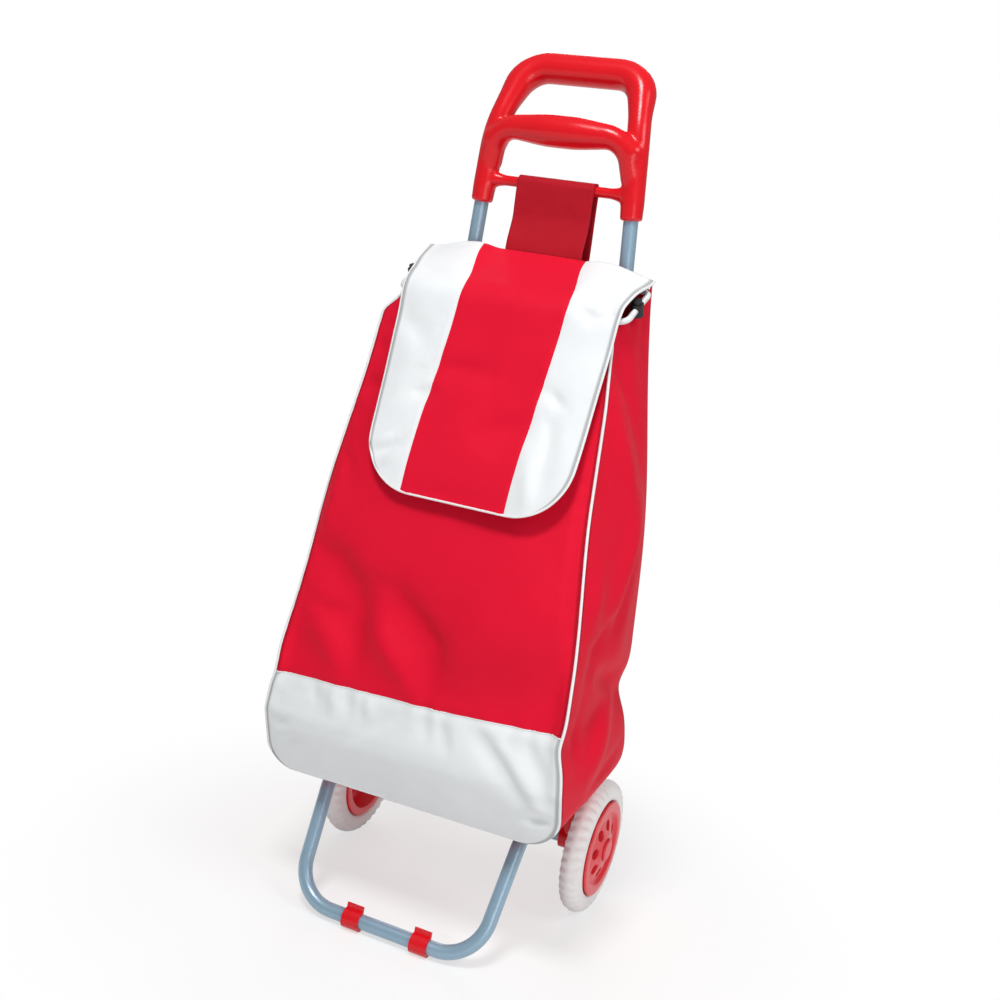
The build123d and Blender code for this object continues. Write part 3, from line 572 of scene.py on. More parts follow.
def tube_piece(name, path, radius_at, sides, *dressing):
    """A round piece along a path. The dressing is what make_piece takes after the bmesh."""
    bm = bmesh.new()
    sweep(bm, path, radius_at, sides)
    return make_piece(name, bm, *dressing)


def bake_modifiers(piece):
    """Replace a piece's mesh by what its modifiers make of it."""
    bpy.context.view_layer.update()
    graph = bpy.context.evaluated_depsgraph_get()
    made = bpy.data.meshes.new_from_object(piece.evaluated_get(graph))
    piece.modifiers.clear()
    old = piece.data
    piece.data = made
    bpy.data.meshes.remove(old)
    shade_smooth(made)


def modify(piece, name, kind, **settings):
    """Give a piece a modifier with its settings."""
    modifier = piece.modifiers.new(name, kind)
    for setting, value in settings.items():
        setattr(modifier, setting, value)


def thicken(piece, thickness):
    """Give a cloth piece its thickness, half on each side."""
    modify(piece, "thickness", "SOLIDIFY", thickness=thickness, offset=0.0, use_rim=True)


def shaped_grid(bm, across, along, place, uv, material=None, seam=None):
    """A grid moved to its place: place, uv, material and seam take its two shares, each from 0 to 1.

    The seam's distance is kept for the finish, which paints shade on the cloth beside it: the piping's shadow
    and the seam's own dark line.
    """
    layer = bm.loops.layers.uv.verify()
    near = bm.verts.layers.float.get("near_seam") or bm.verts.layers.float.new("near_seam")
    grid = bmesh.ops.create_grid(bm, x_segments=across, y_segments=along, size=0.5)
    spots = {vert: (vert.co.x + 0.5, vert.co.y + 0.5) for vert in grid["verts"]}
    faces = {face for vert in grid["verts"] for face in vert.link_faces}
    for face in faces:
        middle = face.calc_center_median()
        if material:
            face.material_index = material(middle.x + 0.5, middle.y + 0.5)
        for loop in face.loops:
            loop[layer].uv = uv(*spots[loop.vert])
    for vert, (u, v) in spots.items():
        vert.co = place(u, v)
        vert[near] = max(0.0, SEAM_SHADE - seam(u, v)) if seam else 0.0


def ring_frames(path):
    """A matrix for each point of a path, turned as little as possible from one to the next."""
    frames = []
    side = None
    for before, point, after in zip(path[:1] + path, path, path[1:] + path[-1:]):
        run = (after - before).normalized()
        if side is None:
            side = run.orthogonal().normalized()
        side = (side - run * side.dot(run)).normalized()
        matrix = Matrix((side, run.cross(side), run)).transposed().to_4x4()
        matrix.translation = point
        frames.append(matrix)
    return frames


def sweep(bm, path, radius_at, sides):
    """Extrude a round section along a path, ring by ring, and close both ends.

    The UV runs along the path in metres and round it once.
    """
    layer = bm.loops.layers.uv.verify()
    rings = [matrix @ Matrix.Scale(radius_at(index), 4) for index, matrix in enumerate(ring_frames(path))]
    first = bmesh.ops.create_circle(bm, segments=sides, radius=1.0)["verts"]
    bmesh.ops.transform(bm, matrix=rings[0], verts=first)
    turns = {vert: index / sides for index, vert in enumerate(first)}
    edges = list({edge for vert in first for edge in vert.link_edges})
    travelled = 0.0
    for index in range(1, len(path)):
        made = bmesh.ops.extrude_edge_only(bm, edges=edges)["geom"]
        verts = [item for item in made if isinstance(item, bmesh.types.BMVert)]
        bmesh.ops.transform(bm, matrix=rings[index] @ rings[index - 1].inverted(), verts=verts)
        step = (path[index] - path[index - 1]).length
        pairs = {}
        for vert in verts:
            others = (edge.other_vert(vert) for edge in vert.link_edges)
            pairs[vert] = next(turns[other] for other in others if other in turns)
        turns.update(pairs)
        for face in {face for vert in verts for face in vert.link_faces}:
            high = max(turns[loop.vert] for loop in face.loops)
            for loop in face.loops:
                turn = turns[loop.vert]
                turn = turn + 1 if high - turn > 0.5 else turn
                loop[layer].uv = (travelled + (step if loop.vert in pairs else 0), turn)
        travelled += step
        turns = pairs
        around = {edge for vert in verts for edge in vert.link_edges}
        edges = [edge for edge in around if all(vert in pairs for vert in edge.verts)]
    for ring in (first, verts):
        bmesh.ops.contextual_create(bm, geom=list(ring))


def bent_path(points, bends, step):
    """A path of straight runs joined by arcs of the given radii, with a point about every step."""
    path = [points[0]]
    for before, corner, after, bend in zip(points, points[1:], points[2:], bends):
        into = (corner - before).normalized()
        out = (after - corner).normalized()
        turn = into.angle(out)
        cut = bend * sin(turn / 2) / cos(turn / 2)
        start = corner - into * cut
        centre = start + (out - into * into.dot(out)).normalized() * bend
        axis = into.cross(out).normalized()
        path += run_points(path[-1], start, step)
        pieces = max(2, round(bend * turn / step))
        for piece in range(1, pieces + 1):
            path.append(centre + Matrix.Rotation(turn * piece / pieces, 3, axis) @ (start - centre))
    return path + run_points(path[-1], points[-1], step)


def run_points(start, end, step):
    """Points along a straight run, without its start."""
    pieces = max(1, round((end - start).length / step))
    return [start.lerp(end, share) for share in shares(pieces)[1:]]


# The bag


def half_width(height):
    """Half the bag's width: upright beside the lower corners, tapering above them."""
    taper = (BELLY_HALF - MOUTH_HALF) / (MOUTH_HEIGHT - BELLY_LOW)
    return BELLY_HALF - taper * max(0.0, height - BELLY_LOW)


def front_reach(height):
    """The reach of the front panel's edges at a height."""
    if height > SEAM_HEIGHT:
        return lerp(BELLY_REACH, MOUTH_REACH, (height - SEAM_HEIGHT) / (MOUTH_HEIGHT - SEAM_HEIGHT))
    return lerp(BASE_REACH, BELLY_REACH, min(1.0, (height - BASE_FRONT) / (BELLY_LOW - BASE_FRONT)))


def front_edge(side, down):
    """A point of the front panel's edge on one side, from the mouth at 0 to the corner's end at 1.

    The loose bag leans to its left at the top, and its seam hangs lower on that side.
    """
    slope = hypot(BELLY_REACH - BASE_REACH, BELLY_LOW - BASE_FRONT)
    rise = (BELLY_LOW - BASE_FRONT) / slope
    corner = FRONT_CORNER + side * 0.007
    corner_height = BASE_FRONT + corner * rise
    if down < CORNER_START:
        height = lerp(MOUTH_HEIGHT, corner_height, down / CORNER_START)
        hang = ease(MOUTH_HEIGHT, SEAM_HEIGHT, height) * ease(corner_height, SEAM_HEIGHT, height)
        height += side * EDGE_TILT * hang
        half = half_width(height)
    else:
        left, inset = quarter_round(down, CORNER_START, corner)
        height = BASE_FRONT + left * rise
        half = BELLY_HALF - inset
    lean = 0.0085 * ease(0.33, 0.50, height) + 0.003 * ease(0.58, 0.66, height)
    gather = (0.009 - side * 0.006) * ease(MOUTH_HEIGHT - 0.024, MOUTH_HEIGHT, height)
    pinch = 0.0035 * hump(SEAM_HEIGHT - 0.004, 0.018, height)
    raised = (0.002 + side * 0.002) * ease(0.26, 0.16, height)
    return at(side * (half - gather - pinch) - lean, front_reach(height), height + raised)


def back_edge(side, down):
    """A point of the back panel's edge on one side, from the mouth at 0 to the corner's end at 1."""
    if down < CORNER_START:
        height = lerp(MOUTH_BACK_CORNER, BASE_BACK + BACK_CORNER, down / CORNER_START)
        half = half_width(height)
    else:
        left, inset = quarter_round(down, CORNER_START, BACK_CORNER)
        height = BASE_BACK + left
        half = BELLY_HALF - inset
    swell = 0.010 * hump(0.47, 0.14, height) + 0.002 * hump(0.215, 0.03, height)
    pinch = 0.010 * hump(0.280, 0.024, height)
    return at(side * (half + swell - pinch), BACK_REACH, height)


# Folds of the front panels: a line of (x, height), its widths to the left and right of the line,
# and its height as a share of the fold depth
FRONT_FOLDS = (
    (((-0.162, 0.400), (-0.119, 0.388), (-0.096, 0.367), (-0.080, 0.334)), 0.018, 0.028, -2.3),
    (((-0.140, 0.341), (-0.120, 0.338), (-0.099, 0.336)), 0.008, 0.014, -0.7),
    (((-0.136, 0.328), (-0.110, 0.306), (-0.085, 0.281)), 0.016, 0.018, 1.5),
    (((-0.078, 0.367), (-0.078, 0.325), (-0.081, 0.288)), 0.016, 0.018, -1.2),
    (((-0.066, 0.340), (-0.033, 0.311), (0.006, 0.277)), 0.014, 0.014, 1.2),
    (((-0.047, 0.375), (-0.015, 0.350), (0.009, 0.331), (0.018, 0.295)), 0.016, 0.024, -2.6),
    (((0.024, 0.322), (0.068, 0.352), (0.105, 0.380), (0.148, 0.414)), 0.060, 0.046, 2.6),
    (((-0.150, 0.506), (-0.128, 0.482)), 0.007, 0.010, -0.8),
    (((-0.146, 0.582), (-0.120, 0.572)), 0.006, 0.012, -0.9),
    (((-0.146, 0.626), (-0.128, 0.610)), 0.006, 0.010, -0.6),
    (((-0.071, 0.204), (-0.040, 0.231), (-0.009, 0.256)), 0.010, 0.004, -0.5),
    (((0.073, 0.264), (0.114, 0.228), (0.150, 0.192)), 0.009, 0.012, -1.1),
    (((0.091, 0.265), (0.122, 0.235), (0.148, 0.204)), 0.008, 0.008, 0.8),
    (((0.132, 0.262), (0.152, 0.234), (0.164, 0.204)), 0.007, 0.009, -0.9),
    (((0.037, 0.264), (0.050, 0.230)), 0.006, 0.010, -0.6),
    (((0.018, 0.264), (0.026, 0.236)), 0.006, 0.008, -0.5),
    (((-0.096, 0.262), (-0.090, 0.238)), 0.006, 0.006, 0.6),
    (((-0.075, 0.262), (-0.071, 0.240)), 0.005, 0.006, -0.5),
    (((-0.050, 0.264), (-0.046, 0.242)), 0.006, 0.006, 0.6),
    (((-0.118, 0.260), (-0.111, 0.238)), 0.006, 0.006, -0.5),
    (((0.030, 0.179), (0.105, 0.169)), 0.014, 0.012, 0.7),
    (((0.164, 0.186), (0.136, 0.181)), 0.004, 0.006, -0.7),
    (((0.163, 0.176), (0.132, 0.166)), 0.005, 0.006, 0.6),
    (((0.164, 0.194), (0.142, 0.198)), 0.005, 0.005, 0.6),
    (((-0.164, 0.200), (-0.142, 0.212)), 0.006, 0.008, -0.6),
    (((-0.156, 0.176), (-0.132, 0.190)), 0.006, 0.008, -0.6),
)


def front_bulge(height):
    """How far the middle of the front panel stands out beyond its edges."""
    full = lerp(0.0105, 0.0045, ease(0.30, 0.66, height))
    return full * ease(BASE_FRONT - 0.004, 0.205, height)


def front_point(u, v):
    """A point of the front panel: u across from left to right, v up from the bottom."""
    spot = front_edge(-1, 1 - v).lerp(front_edge(1, 1 - v), u)
    x = spot.x
    height = spot.z
    inset = min(u, 1 - u) * 2 * half_width(height)
    crown = 4 * u * (1 - u)
    sizes = bpy.context.scene.trolley_sizes
    still = ease(0.0, 0.016, inset) * ease(0.0, 0.05, v) * ease(0.0, 0.03, 1 - v)
    lift = front_bulge(height) * sqrt(crown)
    lift += sizes.fold_depth * folds_at(x, height, FRONT_FOLDS) * still
    lift += (0.007 * hump(0.44, 0.08, height) - 0.008 * hump(0.285, 0.055, height)) * still
    drift = 0.7 * noise_at(x * 9, height * 6, 3.1) + 0.25 * noise_at(x * 24, height * 15, 7.7)
    lift += sizes.fold_depth * drift * still
    seam = height - seam_height(u)
    ripple = ripple_at_edge(x * 270)
    reach_of_ripple = 0.022 if seam < 0 else 0.010
    lift += sizes.pucker_depth * ripple * exp(-abs(seam) / reach_of_ripple) * still
    lift -= 0.0009 * exp(-((seam / 0.003) ** 2)) * still
    rim = ripple_at_edge(height * 260 + u * 40) * exp(-inset / 0.014) * ease(0.0, 0.008, inset)
    lift += sizes.pucker_depth * 1.2 * rim * ease(0.0, 0.05, v)
    return spot + Vector((0, -lift, 0))


def seam_height(u):
    """Height of the seam between the red and the grey front panel."""
    return SEAM_HEIGHT + SEAM_TILT * (2 * u - 1)


def ripple_at_edge(phase):
    """Irregular gathers along a sewn edge."""
    wander = 1.7 * noise_at(phase * 0.21, 1.3, 0.2)
    return sin(phase + wander) * (0.55 + 0.45 * sin(phase * 0.23))


# Folds of the back panel, given as those of the front are
BACK_FOLDS = (
    (((-0.150, 0.300), (-0.060, 0.262), (0.040, 0.256)), 0.016, 0.012, 0.6),
    (((0.150, 0.330), (0.070, 0.288), (0.000, 0.280)), 0.014, 0.012, -0.5),
    (((-0.120, 0.560), (-0.060, 0.620), (-0.035, 0.680)), 0.014, 0.010, 0.6),
    (((0.110, 0.540), (0.065, 0.610), (0.040, 0.680)), 0.010, 0.014, 0.6),
    (((-0.040, 0.430), (0.020, 0.400), (0.080, 0.410)), 0.016, 0.020, -0.4),
    (((-0.140, 0.210), (-0.100, 0.190), (-0.040, 0.186)), 0.010, 0.012, -0.5),
)


def back_point(u, v):
    """A point of the back panel."""
    spot = back_edge(-1, 1 - v).lerp(back_edge(1, 1 - v), u)
    across = 2 * u - 1
    squareness = 14 if across < 0 else 6
    rise = (BACK_TOP - MOUTH_BACK_CORNER) * (1 - across ** squareness) * ease(0.90, 1.0, v)
    still = min(1.0, (1 - across * across) * 4) * ease(0.0, 0.06, v) * ease(0.0, 0.03, 1 - v)
    drift = 0.0022 * noise_at(across * 1.6, spot.z * 6, 5.0)
    drift += 0.0010 * noise_at(across * 5.0, spot.z * 16, 8.0)
    creases = bpy.context.scene.trolley_sizes.fold_depth * folds_at(spot.x, spot.z, BACK_FOLDS)
    return spot + Vector((0, -(0.003 + drift + creases) * still, rise))


# Folds of the side panels, given as those of the front are, with a line of (reach, height)
SIDE_FOLDS = (
    (((0.138, 0.560), (0.131, 0.516), (0.116, 0.490)), 0.010, 0.012, -1.3),
    (((0.052, 0.490), (0.089, 0.393), (0.115, 0.352)), 0.018, 0.014, 1.3),
    (((0.046, 0.448), (0.087, 0.384), (0.133, 0.350), (0.156, 0.312)), 0.014, 0.020, -1.4),
    (((0.130, 0.430), (0.150, 0.380)), 0.014, 0.012, 1.0),
    (((0.036, 0.290), (0.092, 0.256), (0.140, 0.224)), 0.015, 0.015, 1.3),
    (((0.010, 0.226), (0.074, 0.211), (0.120, 0.200)), 0.010, 0.012, -0.8),
    (((0.010, 0.281), (0.056, 0.302), (0.110, 0.318)), 0.013, 0.014, -2.2),
    (((0.112, 0.630), (0.088, 0.560), (0.070, 0.500)), 0.014, 0.012, 0.9),
    (((0.098, 0.655), (0.064, 0.600), (0.044, 0.530)), 0.012, 0.016, -1.0),
    (((0.160, 0.300), (0.170, 0.240)), 0.010, 0.010, -0.9),
)


def gusset_point(side, down, depth):
    """A point of a side panel: down from the mouth, depth from the front edge at 0 to the back edge at 1."""
    front = front_edge(side, down)
    back = back_edge(side, down)
    spot = front.lerp(back, depth)
    sizes = bpy.context.scene.trolley_sizes
    inside = sin(pi * depth)
    corner = 1 - ease(CORNER_START, 1.0, down)
    loose = inside * ease(0.0, 0.06, down) * corner
    swell = 0.011 * hump(0.48, 0.15, spot.z) + 0.005 * hump(0.222, 0.035, spot.z)
    lift = swell * sin(pi * depth ** 1.3) * corner
    lift += sizes.fold_depth * 1.4 * folds_at(AXLE.y - spot.y, spot.z, SIDE_FOLDS) * loose
    drift = noise_at(depth * 3.0 + side * 9, spot.z * 7, 2.0)
    lift += sizes.fold_depth * 0.7 * drift * loose
    gathers = ripple_at_edge(spot.z * 240 + side) * exp(-depth * 9) * inside
    lift += sizes.pucker_depth * 2.2 * gathers * ease(0.0, 0.04, down)
    lift += 0.003 * exp(-down * 34) * sin(depth * 21 + side) * inside
    tip = 0.010 * ease(0.86, 1.0, depth) * exp(-down * 60)
    sag = 0.006 * inside * exp(-down * 30)
    return spot + Vector((side * lift, 0, tip - sag))


def bottom_point(share, depth):
    """A point of the bag's bottom: share across from right to left."""
    right = front_edge(1, 1.0).lerp(back_edge(1, 1.0), depth)
    left = front_edge(-1, 1.0).lerp(back_edge(-1, 1.0), depth)
    spot = right.lerp(left, share)
    ripple = noise_at(spot.x * 14, depth * 3, 1.0)
    return spot + Vector((0, 0, 0.0015 * sin(pi * depth) * sin(pi * share) * ripple))


class TROLLEY_OT_bag(bpy.types.Operator):
    """Sew the bag: front panels, sides, bottom and back in one shell"""

    bl_idname = "trolley.bag"
    bl_label = "Bag"

    ROWS = 132
    COLUMNS = 84
    DEPTH = 40
    NODES = (
        "upper_front_panel", "lower_front_panel", "left_side_panel", "right_side_panel",
        "bottom_band", "back_panel",
    )

    @classmethod
    def seam_share(cls):
        """The row of the front panel, from the mouth at 0, where the red cloth meets the grey."""
        share = CORNER_START * (MOUTH_HEIGHT - SEAM_HEIGHT) / (MOUTH_HEIGHT - FRONT_CORNER_TOP)
        return round(cls.ROWS * share) / cls.ROWS

    def execute(self, context):
        bm = bmesh.new()
        seam_share = self.seam_share()
        shaped_grid(
            bm, self.COLUMNS, self.ROWS, front_point,
            lambda u, v: ((2 * u - 1) * BELLY_HALF, front_edge(1, 1 - v).z),
            lambda u, v: 1 if 1 - v > seam_share else 0,
            lambda u, v: min(min(u, 1 - u) * 2 * BELLY_HALF, 0.004 + abs(1 - v - seam_share) * 0.6),
        )
        shaped_grid(
            bm, self.COLUMNS, self.ROWS, back_point,
            lambda u, v: ((2 * u - 1) * BELLY_HALF, back_edge(1, 1 - v).z),
        )
        around = 2 * self.ROWS + self.COLUMNS

        def round_the_bag(u, v):
            step = round(u * around)
            if step <= self.ROWS:
                return gusset_point(1, step / self.ROWS, v)
            if step >= self.ROWS + self.COLUMNS:
                return gusset_point(-1, (around - step) / self.ROWS, v)
            return bottom_point((step - self.ROWS) / self.COLUMNS, v)

        shaped_grid(
            bm, around, self.DEPTH, round_the_bag, lambda u, v: (v * 0.15, u * 1.36), None,
            lambda u, v: min(v, 1.02 - v) * 0.14,
        )
        bmesh.ops.remove_doubles(bm, verts=bm.verts, dist=0.0001)
        piece = make_piece("bag", bm, ("red cloth", "grey cloth"), "frame", "red_cloth", self.NODES)
        thicken(piece, CLOTH)
        return {"FINISHED"}


class TROLLEY_OT_bag_piping(bpy.types.Operator):
    """Run the white piping along the front panel's edge"""

    bl_idname = "trolley.bag_piping"
    bl_label = "Bag piping"

    STEPS = 160
    SEAM_STEPS = 90

    def execute(self, context):
        radius = context.scene.trolley_sizes.bag_piping
        tucked = Vector((0, 0.004, 0.003))

        def edge(side):
            return [front_edge(side, down) + tucked * ease(0.86, 0.95, down) for down in shares(self.STEPS)]

        right = edge(1)
        left = edge(-1)[::-1]
        bm = bmesh.new()
        sweep(bm, right + run_points(right[-1], left[0], 0.006) + left[1:], lambda index: radius, 14)
        row = 1 - TROLLEY_OT_bag.seam_share()
        seam = [front_point(u, row) for u in shares(self.SEAM_STEPS)]
        sweep(bm, seam, lambda index: radius * 0.5, 8)
        make_piece("bag_piping_white", bm, ("white piping",), "frame", "white_piping", ("bag_piping",))
        return {"FINISHED"}


# The flap


def flap_row(down):
    """A row of the flap, down from 0 at the hinge to 1: its place along the flap and its half width."""
    lid = (FOLD - HINGE).length
    front = hypot(AXLE.y - FLAP_BOTTOM_REACH - FOLD.y, FOLD.z - FLAP_BOTTOM_HEIGHT)
    length = lid + front
    if down < FLAP_CORNER_START:
        along = lerp(0.0, length - FLAP_CORNER, down / FLAP_CORNER_START)
        corner = 0.0
    else:
        left, corner = quarter_round(down, FLAP_CORNER_START, FLAP_CORNER)
        along = length - left
    if along < lid:
        half = lerp(FLAP_BACK_HALF, FLAP_FOLD_HALF, ease(0.0, lid, along))
    else:
        half = lerp(FLAP_FOLD_HALF, FLAP_BOTTOM_HALF, (along - lid) / front)
    return along, half - corner, lid


def flap_line(along, lid):
    """The flap's middle line in side view: a point and its outward direction, rounded at the fold."""
    top = (FOLD - HINGE).normalized()
    end = Vector((0, AXLE.y - FLAP_BOTTOM_REACH, FLAP_BOTTOM_HEIGHT))
    down = (end - FOLD).normalized()
    past = along - lid
    if past < -FLAP_FOLD_ROUND:
        point, run = HINGE + top * along, top
    elif past > FLAP_FOLD_ROUND:
        point, run = FOLD + down * past, down
    else:
        share = (past + FLAP_FOLD_ROUND) / (2 * FLAP_FOLD_ROUND)
        first = FOLD - top * FLAP_FOLD_ROUND
        last = FOLD + down * FLAP_FOLD_ROUND
        point = first * (1 - share) ** 2 + FOLD * 2 * share * (1 - share) + last * share * share
        run = top.lerp(down, share).normalized()
    return point, Vector((0, run.z, -run.y))


# Folds of the flap, given as those of the front are, with a line of (x, distance past the fold)
FLAP_FOLDS = (
    (((-0.058, 0.090), (-0.028, 0.086), (-0.002, 0.085)), 0.016, 0.010, -0.9),
    (((-0.040, 0.134), (-0.012, 0.113), (0.010, 0.096)), 0.010, 0.016, 0.6),
    (((-0.004, 0.152), (0.033, 0.139), (0.070, 0.124)), 0.018, 0.011, -0.8),
    (((0.080, 0.003), (0.099, 0.010), (0.114, 0.004)), 0.010, 0.006, -0.8),
    (((0.107, -0.030), (0.118, 0.012)), 0.006, 0.006, -0.6),
    (((0.070, 0.092), (0.094, 0.107)), 0.008, 0.006, -0.6),
    (((0.082, 0.122), (0.086, 0.150), (0.085, 0.190)), 0.007, 0.012, -0.9),
    (((0.066, 0.154), (0.074, 0.190), (0.078, 0.212)), 0.008, 0.009, 0.6),
    (((-0.080, 0.120), (-0.054, 0.115)), 0.010, 0.006, -0.7),
    (((-0.110, 0.179), (-0.084, 0.168)), 0.006, 0.006, 0.7),
    (((-0.104, 0.189), (-0.078, 0.171)), 0.005, 0.006, -0.7),
    (((-0.094, 0.197), (-0.070, 0.182)), 0.006, 0.006, 0.6),
    (((-0.110, -0.022), (-0.068, -0.006)), 0.012, 0.010, -0.6),
    (((-0.112, 0.040), (-0.078, 0.066)), 0.010, 0.014, -0.6),
    (((-0.060, 0.214), (0.056, 0.218)), 0.012, 0.012, -0.5),
)


def flap_point(across, down):
    """A point of the flap: across from -1 to 1, down from the hinge at 0."""
    along, half, lid = flap_row(down)
    past = along - lid
    point, outward = flap_line(along, lid)
    slant = lerp(-0.0085, 0.009, ease(-lid, 0.0, past)) - 0.013 * ease(0.0, 0.219, past)
    shift = lerp(-0.004, 0.002, ease(-lid, -0.02, past))
    stripe = min(FLAP_STRIPE_HALF, half - 0.002)
    if abs(across) <= FLAP_STRIPE_SHARE:
        x = slant + across / FLAP_STRIPE_SHARE * stripe
    else:
        share = (abs(across) - FLAP_STRIPE_SHARE) / (1 - FLAP_STRIPE_SHARE)
        side = 1 if across > 0 else -1
        x = lerp(slant + side * stripe, shift + side * half, share)
    depth = bpy.context.scene.trolley_sizes.fold_depth
    loose = ease(0.0, 0.03, along)
    lift = 0.0022 * ease(0.0, 0.10, past) * (1 - across * across) * (1 - ease(0.14, 0.219, past))
    on_lid = 1 - ease(-0.03, 0.05, past)
    droop = ease(0.055, 0.135, abs(x)) ** 2
    near_fold = ease(-lid, -0.03, past)
    lift += on_lid * (0.004 - lerp(0.013, 0.003, near_fold) * droop - lerp(0.018, 0.004, near_fold) * x)
    lift -= 0.004 * (1 - on_lid) * ease(0.080, 0.125, abs(x)) ** 2 * (1 - ease(0.12, 0.2, past))
    drift = noise_at(x * 11, along * 9, 4.0) + 0.4 * noise_at(x * 30, along * 22, 9.0)
    flat = (1 - ease(0.048, 0.075, abs(x))) * (1 - ease(-0.03, 0.02, past))
    lift += depth * 0.4 * drift * loose * (0.5 + 0.5 * ease(0.0, 0.05, past))
    lift *= 1 - 0.85 * flat
    lift += depth * 0.8 * folds_at(x, past, FLAP_FOLDS)
    lift -= 0.0007 * exp(-((abs(abs(x - slant) - stripe) / 0.0022) ** 2))
    loose_end = ease(0.090, 0.225, past)
    lift += (0.012 + 0.03 * x) * loose_end
    return Vector((x + 0.0045 * loose_end, point.y, point.z - 0.005 * loose_end)) + outward * lift


class TROLLEY_OT_flap(bpy.types.Operator):
    """Sew the striped flap and its piping, bending at the fold"""

    bl_idname = "trolley.flap"
    bl_label = "Flap"

    COLUMNS = 100
    ROWS = 130
    EDGE_STEPS = 150
    STRIPE_STEPS = 40
    SMOOTHINGS = 3
    SEAM_STEPS = 60
    SEAM_ENDS = (-0.78, 0.82)
    SEAM_DROP = Vector((0, 0, 0.0031))
    SEAM_RADIUS = 0.0026

    def execute(self, context):
        sizes = context.scene.trolley_sizes
        bm = bmesh.new()
        shaped_grid(
            bm, self.COLUMNS, self.ROWS,
            lambda u, v: flap_point(2 * u - 1, 1 - v),
            lambda u, v: ((2 * u - 1) * FLAP_FOLD_HALF, flap_row(1 - v)[0]),
            lambda u, v: 0 if abs(2 * u - 1) < FLAP_STRIPE_SHARE else 1,
            lambda u, v: min(min(u, 1 - u) * 2 * FLAP_FOLD_HALF, v * 0.3),
        )
        strips = ("left_band", "centre", "right_band")
        nodes = [f"flap_{part}_{strip}" for part in ("top", "front") for strip in strips]
        cloth = make_piece("flap_cloth", bm, ("red cloth", "cream cloth"), None, "red_cloth", nodes)
        thicken(cloth, sizes.flap_cloth)

        right, left = ([flap_point(side, down) for down in shares(self.EDGE_STEPS)] for side in (1, -1))
        ends = (FLAP_STRIPE_SHARE, -FLAP_STRIPE_SHARE)
        stripe = [flap_point(lerp(*ends, share), 1.0) for share in shares(self.STRIPE_STEPS)]
        path = right + stripe + left[::-1]
        for _ in range(self.SMOOTHINGS):
            threes = zip(path, path[1:], path[2:])
            path[1:-1] = [(before + 2 * spot + after) / 4 for before, spot, after in threes]
        piping = tube_piece(
            "flap_piping_white", path, lambda index: sizes.flap_piping, 12,
            ("white piping",), None, "white_piping", ("flap_top_piping", "flap_front_piping"),
        )
        across = [lerp(*self.SEAM_ENDS, share) for share in shares(self.SEAM_STEPS)]
        seam = [flap_point(spot, 0.0) - self.SEAM_DROP for spot in across]
        tube_piece(
            "flap_seam", seam, lambda index: self.SEAM_RADIUS, 12, ("red cloth",), "frame", "red_cloth",
        )
        after = at(0, FLAP_BOTTOM_REACH, FLAP_BOTTOM_HEIGHT)
        after = FOLD + (after - FOLD).normalized() * FLAP_FOLD_ROUND
        for piece in (cloth, piping):
            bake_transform(piece)
        return {"FINISHED"}


# The strap, the hem, the drawstring and its locks


def strap_point(across, along):
    """A point of the strap loop: up its front layer, over the crossbar and down its back layer."""
    low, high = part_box("strap_loop")
    bar = high.z - 0.0085
    width = (high.x - low.x) / 2
    wave = 0.0009 * noise_at(across * 2.2, along * 7, 6.0)
    if along < STRAP_LAYER:
        height = lerp(BACK_TOP + 0.001, bar, along / STRAP_LAYER)
        reach = lerp(STRAP_FRONT_REACH, STRAP_LOOP, ease(BACK_TOP, BACK_TOP + 0.045, height)) + wave
    elif along < STRAP_BACK:
        angle = (along - STRAP_LAYER) / STRAP_BEND * pi
        height = bar + STRAP_LOOP * sin(angle)
        reach = STRAP_LOOP * cos(angle)
    else:
        height = lerp(bar, low.z + 0.001, (along - STRAP_BACK) / STRAP_LAYER)
        reach = lerp(STRAP_BACK_REACH, -STRAP_LOOP, ease(low.z, low.z + 0.042, height)) + wave
    return at(across * width, reach, height)


class TROLLEY_OT_strap(bpy.types.Operator):
    """Fold the strap loop over the handle's crossbar"""

    bl_idname = "trolley.strap"
    bl_label = "Strap loop"

    def execute(self, context):
        bm = bmesh.new()
        shaped_grid(bm, 40, 120, lambda u, v: strap_point(2 * u - 1, v), lambda u, v: (u * 0.1, v * 0.23))
        piece = make_piece("strap_cloth", bm, ("strap cloth",), "frame", "red_cloth", ("strap_loop",))
        thicken(piece, context.scene.trolley_sizes.strap_cloth)
        return {"FINISHED"}


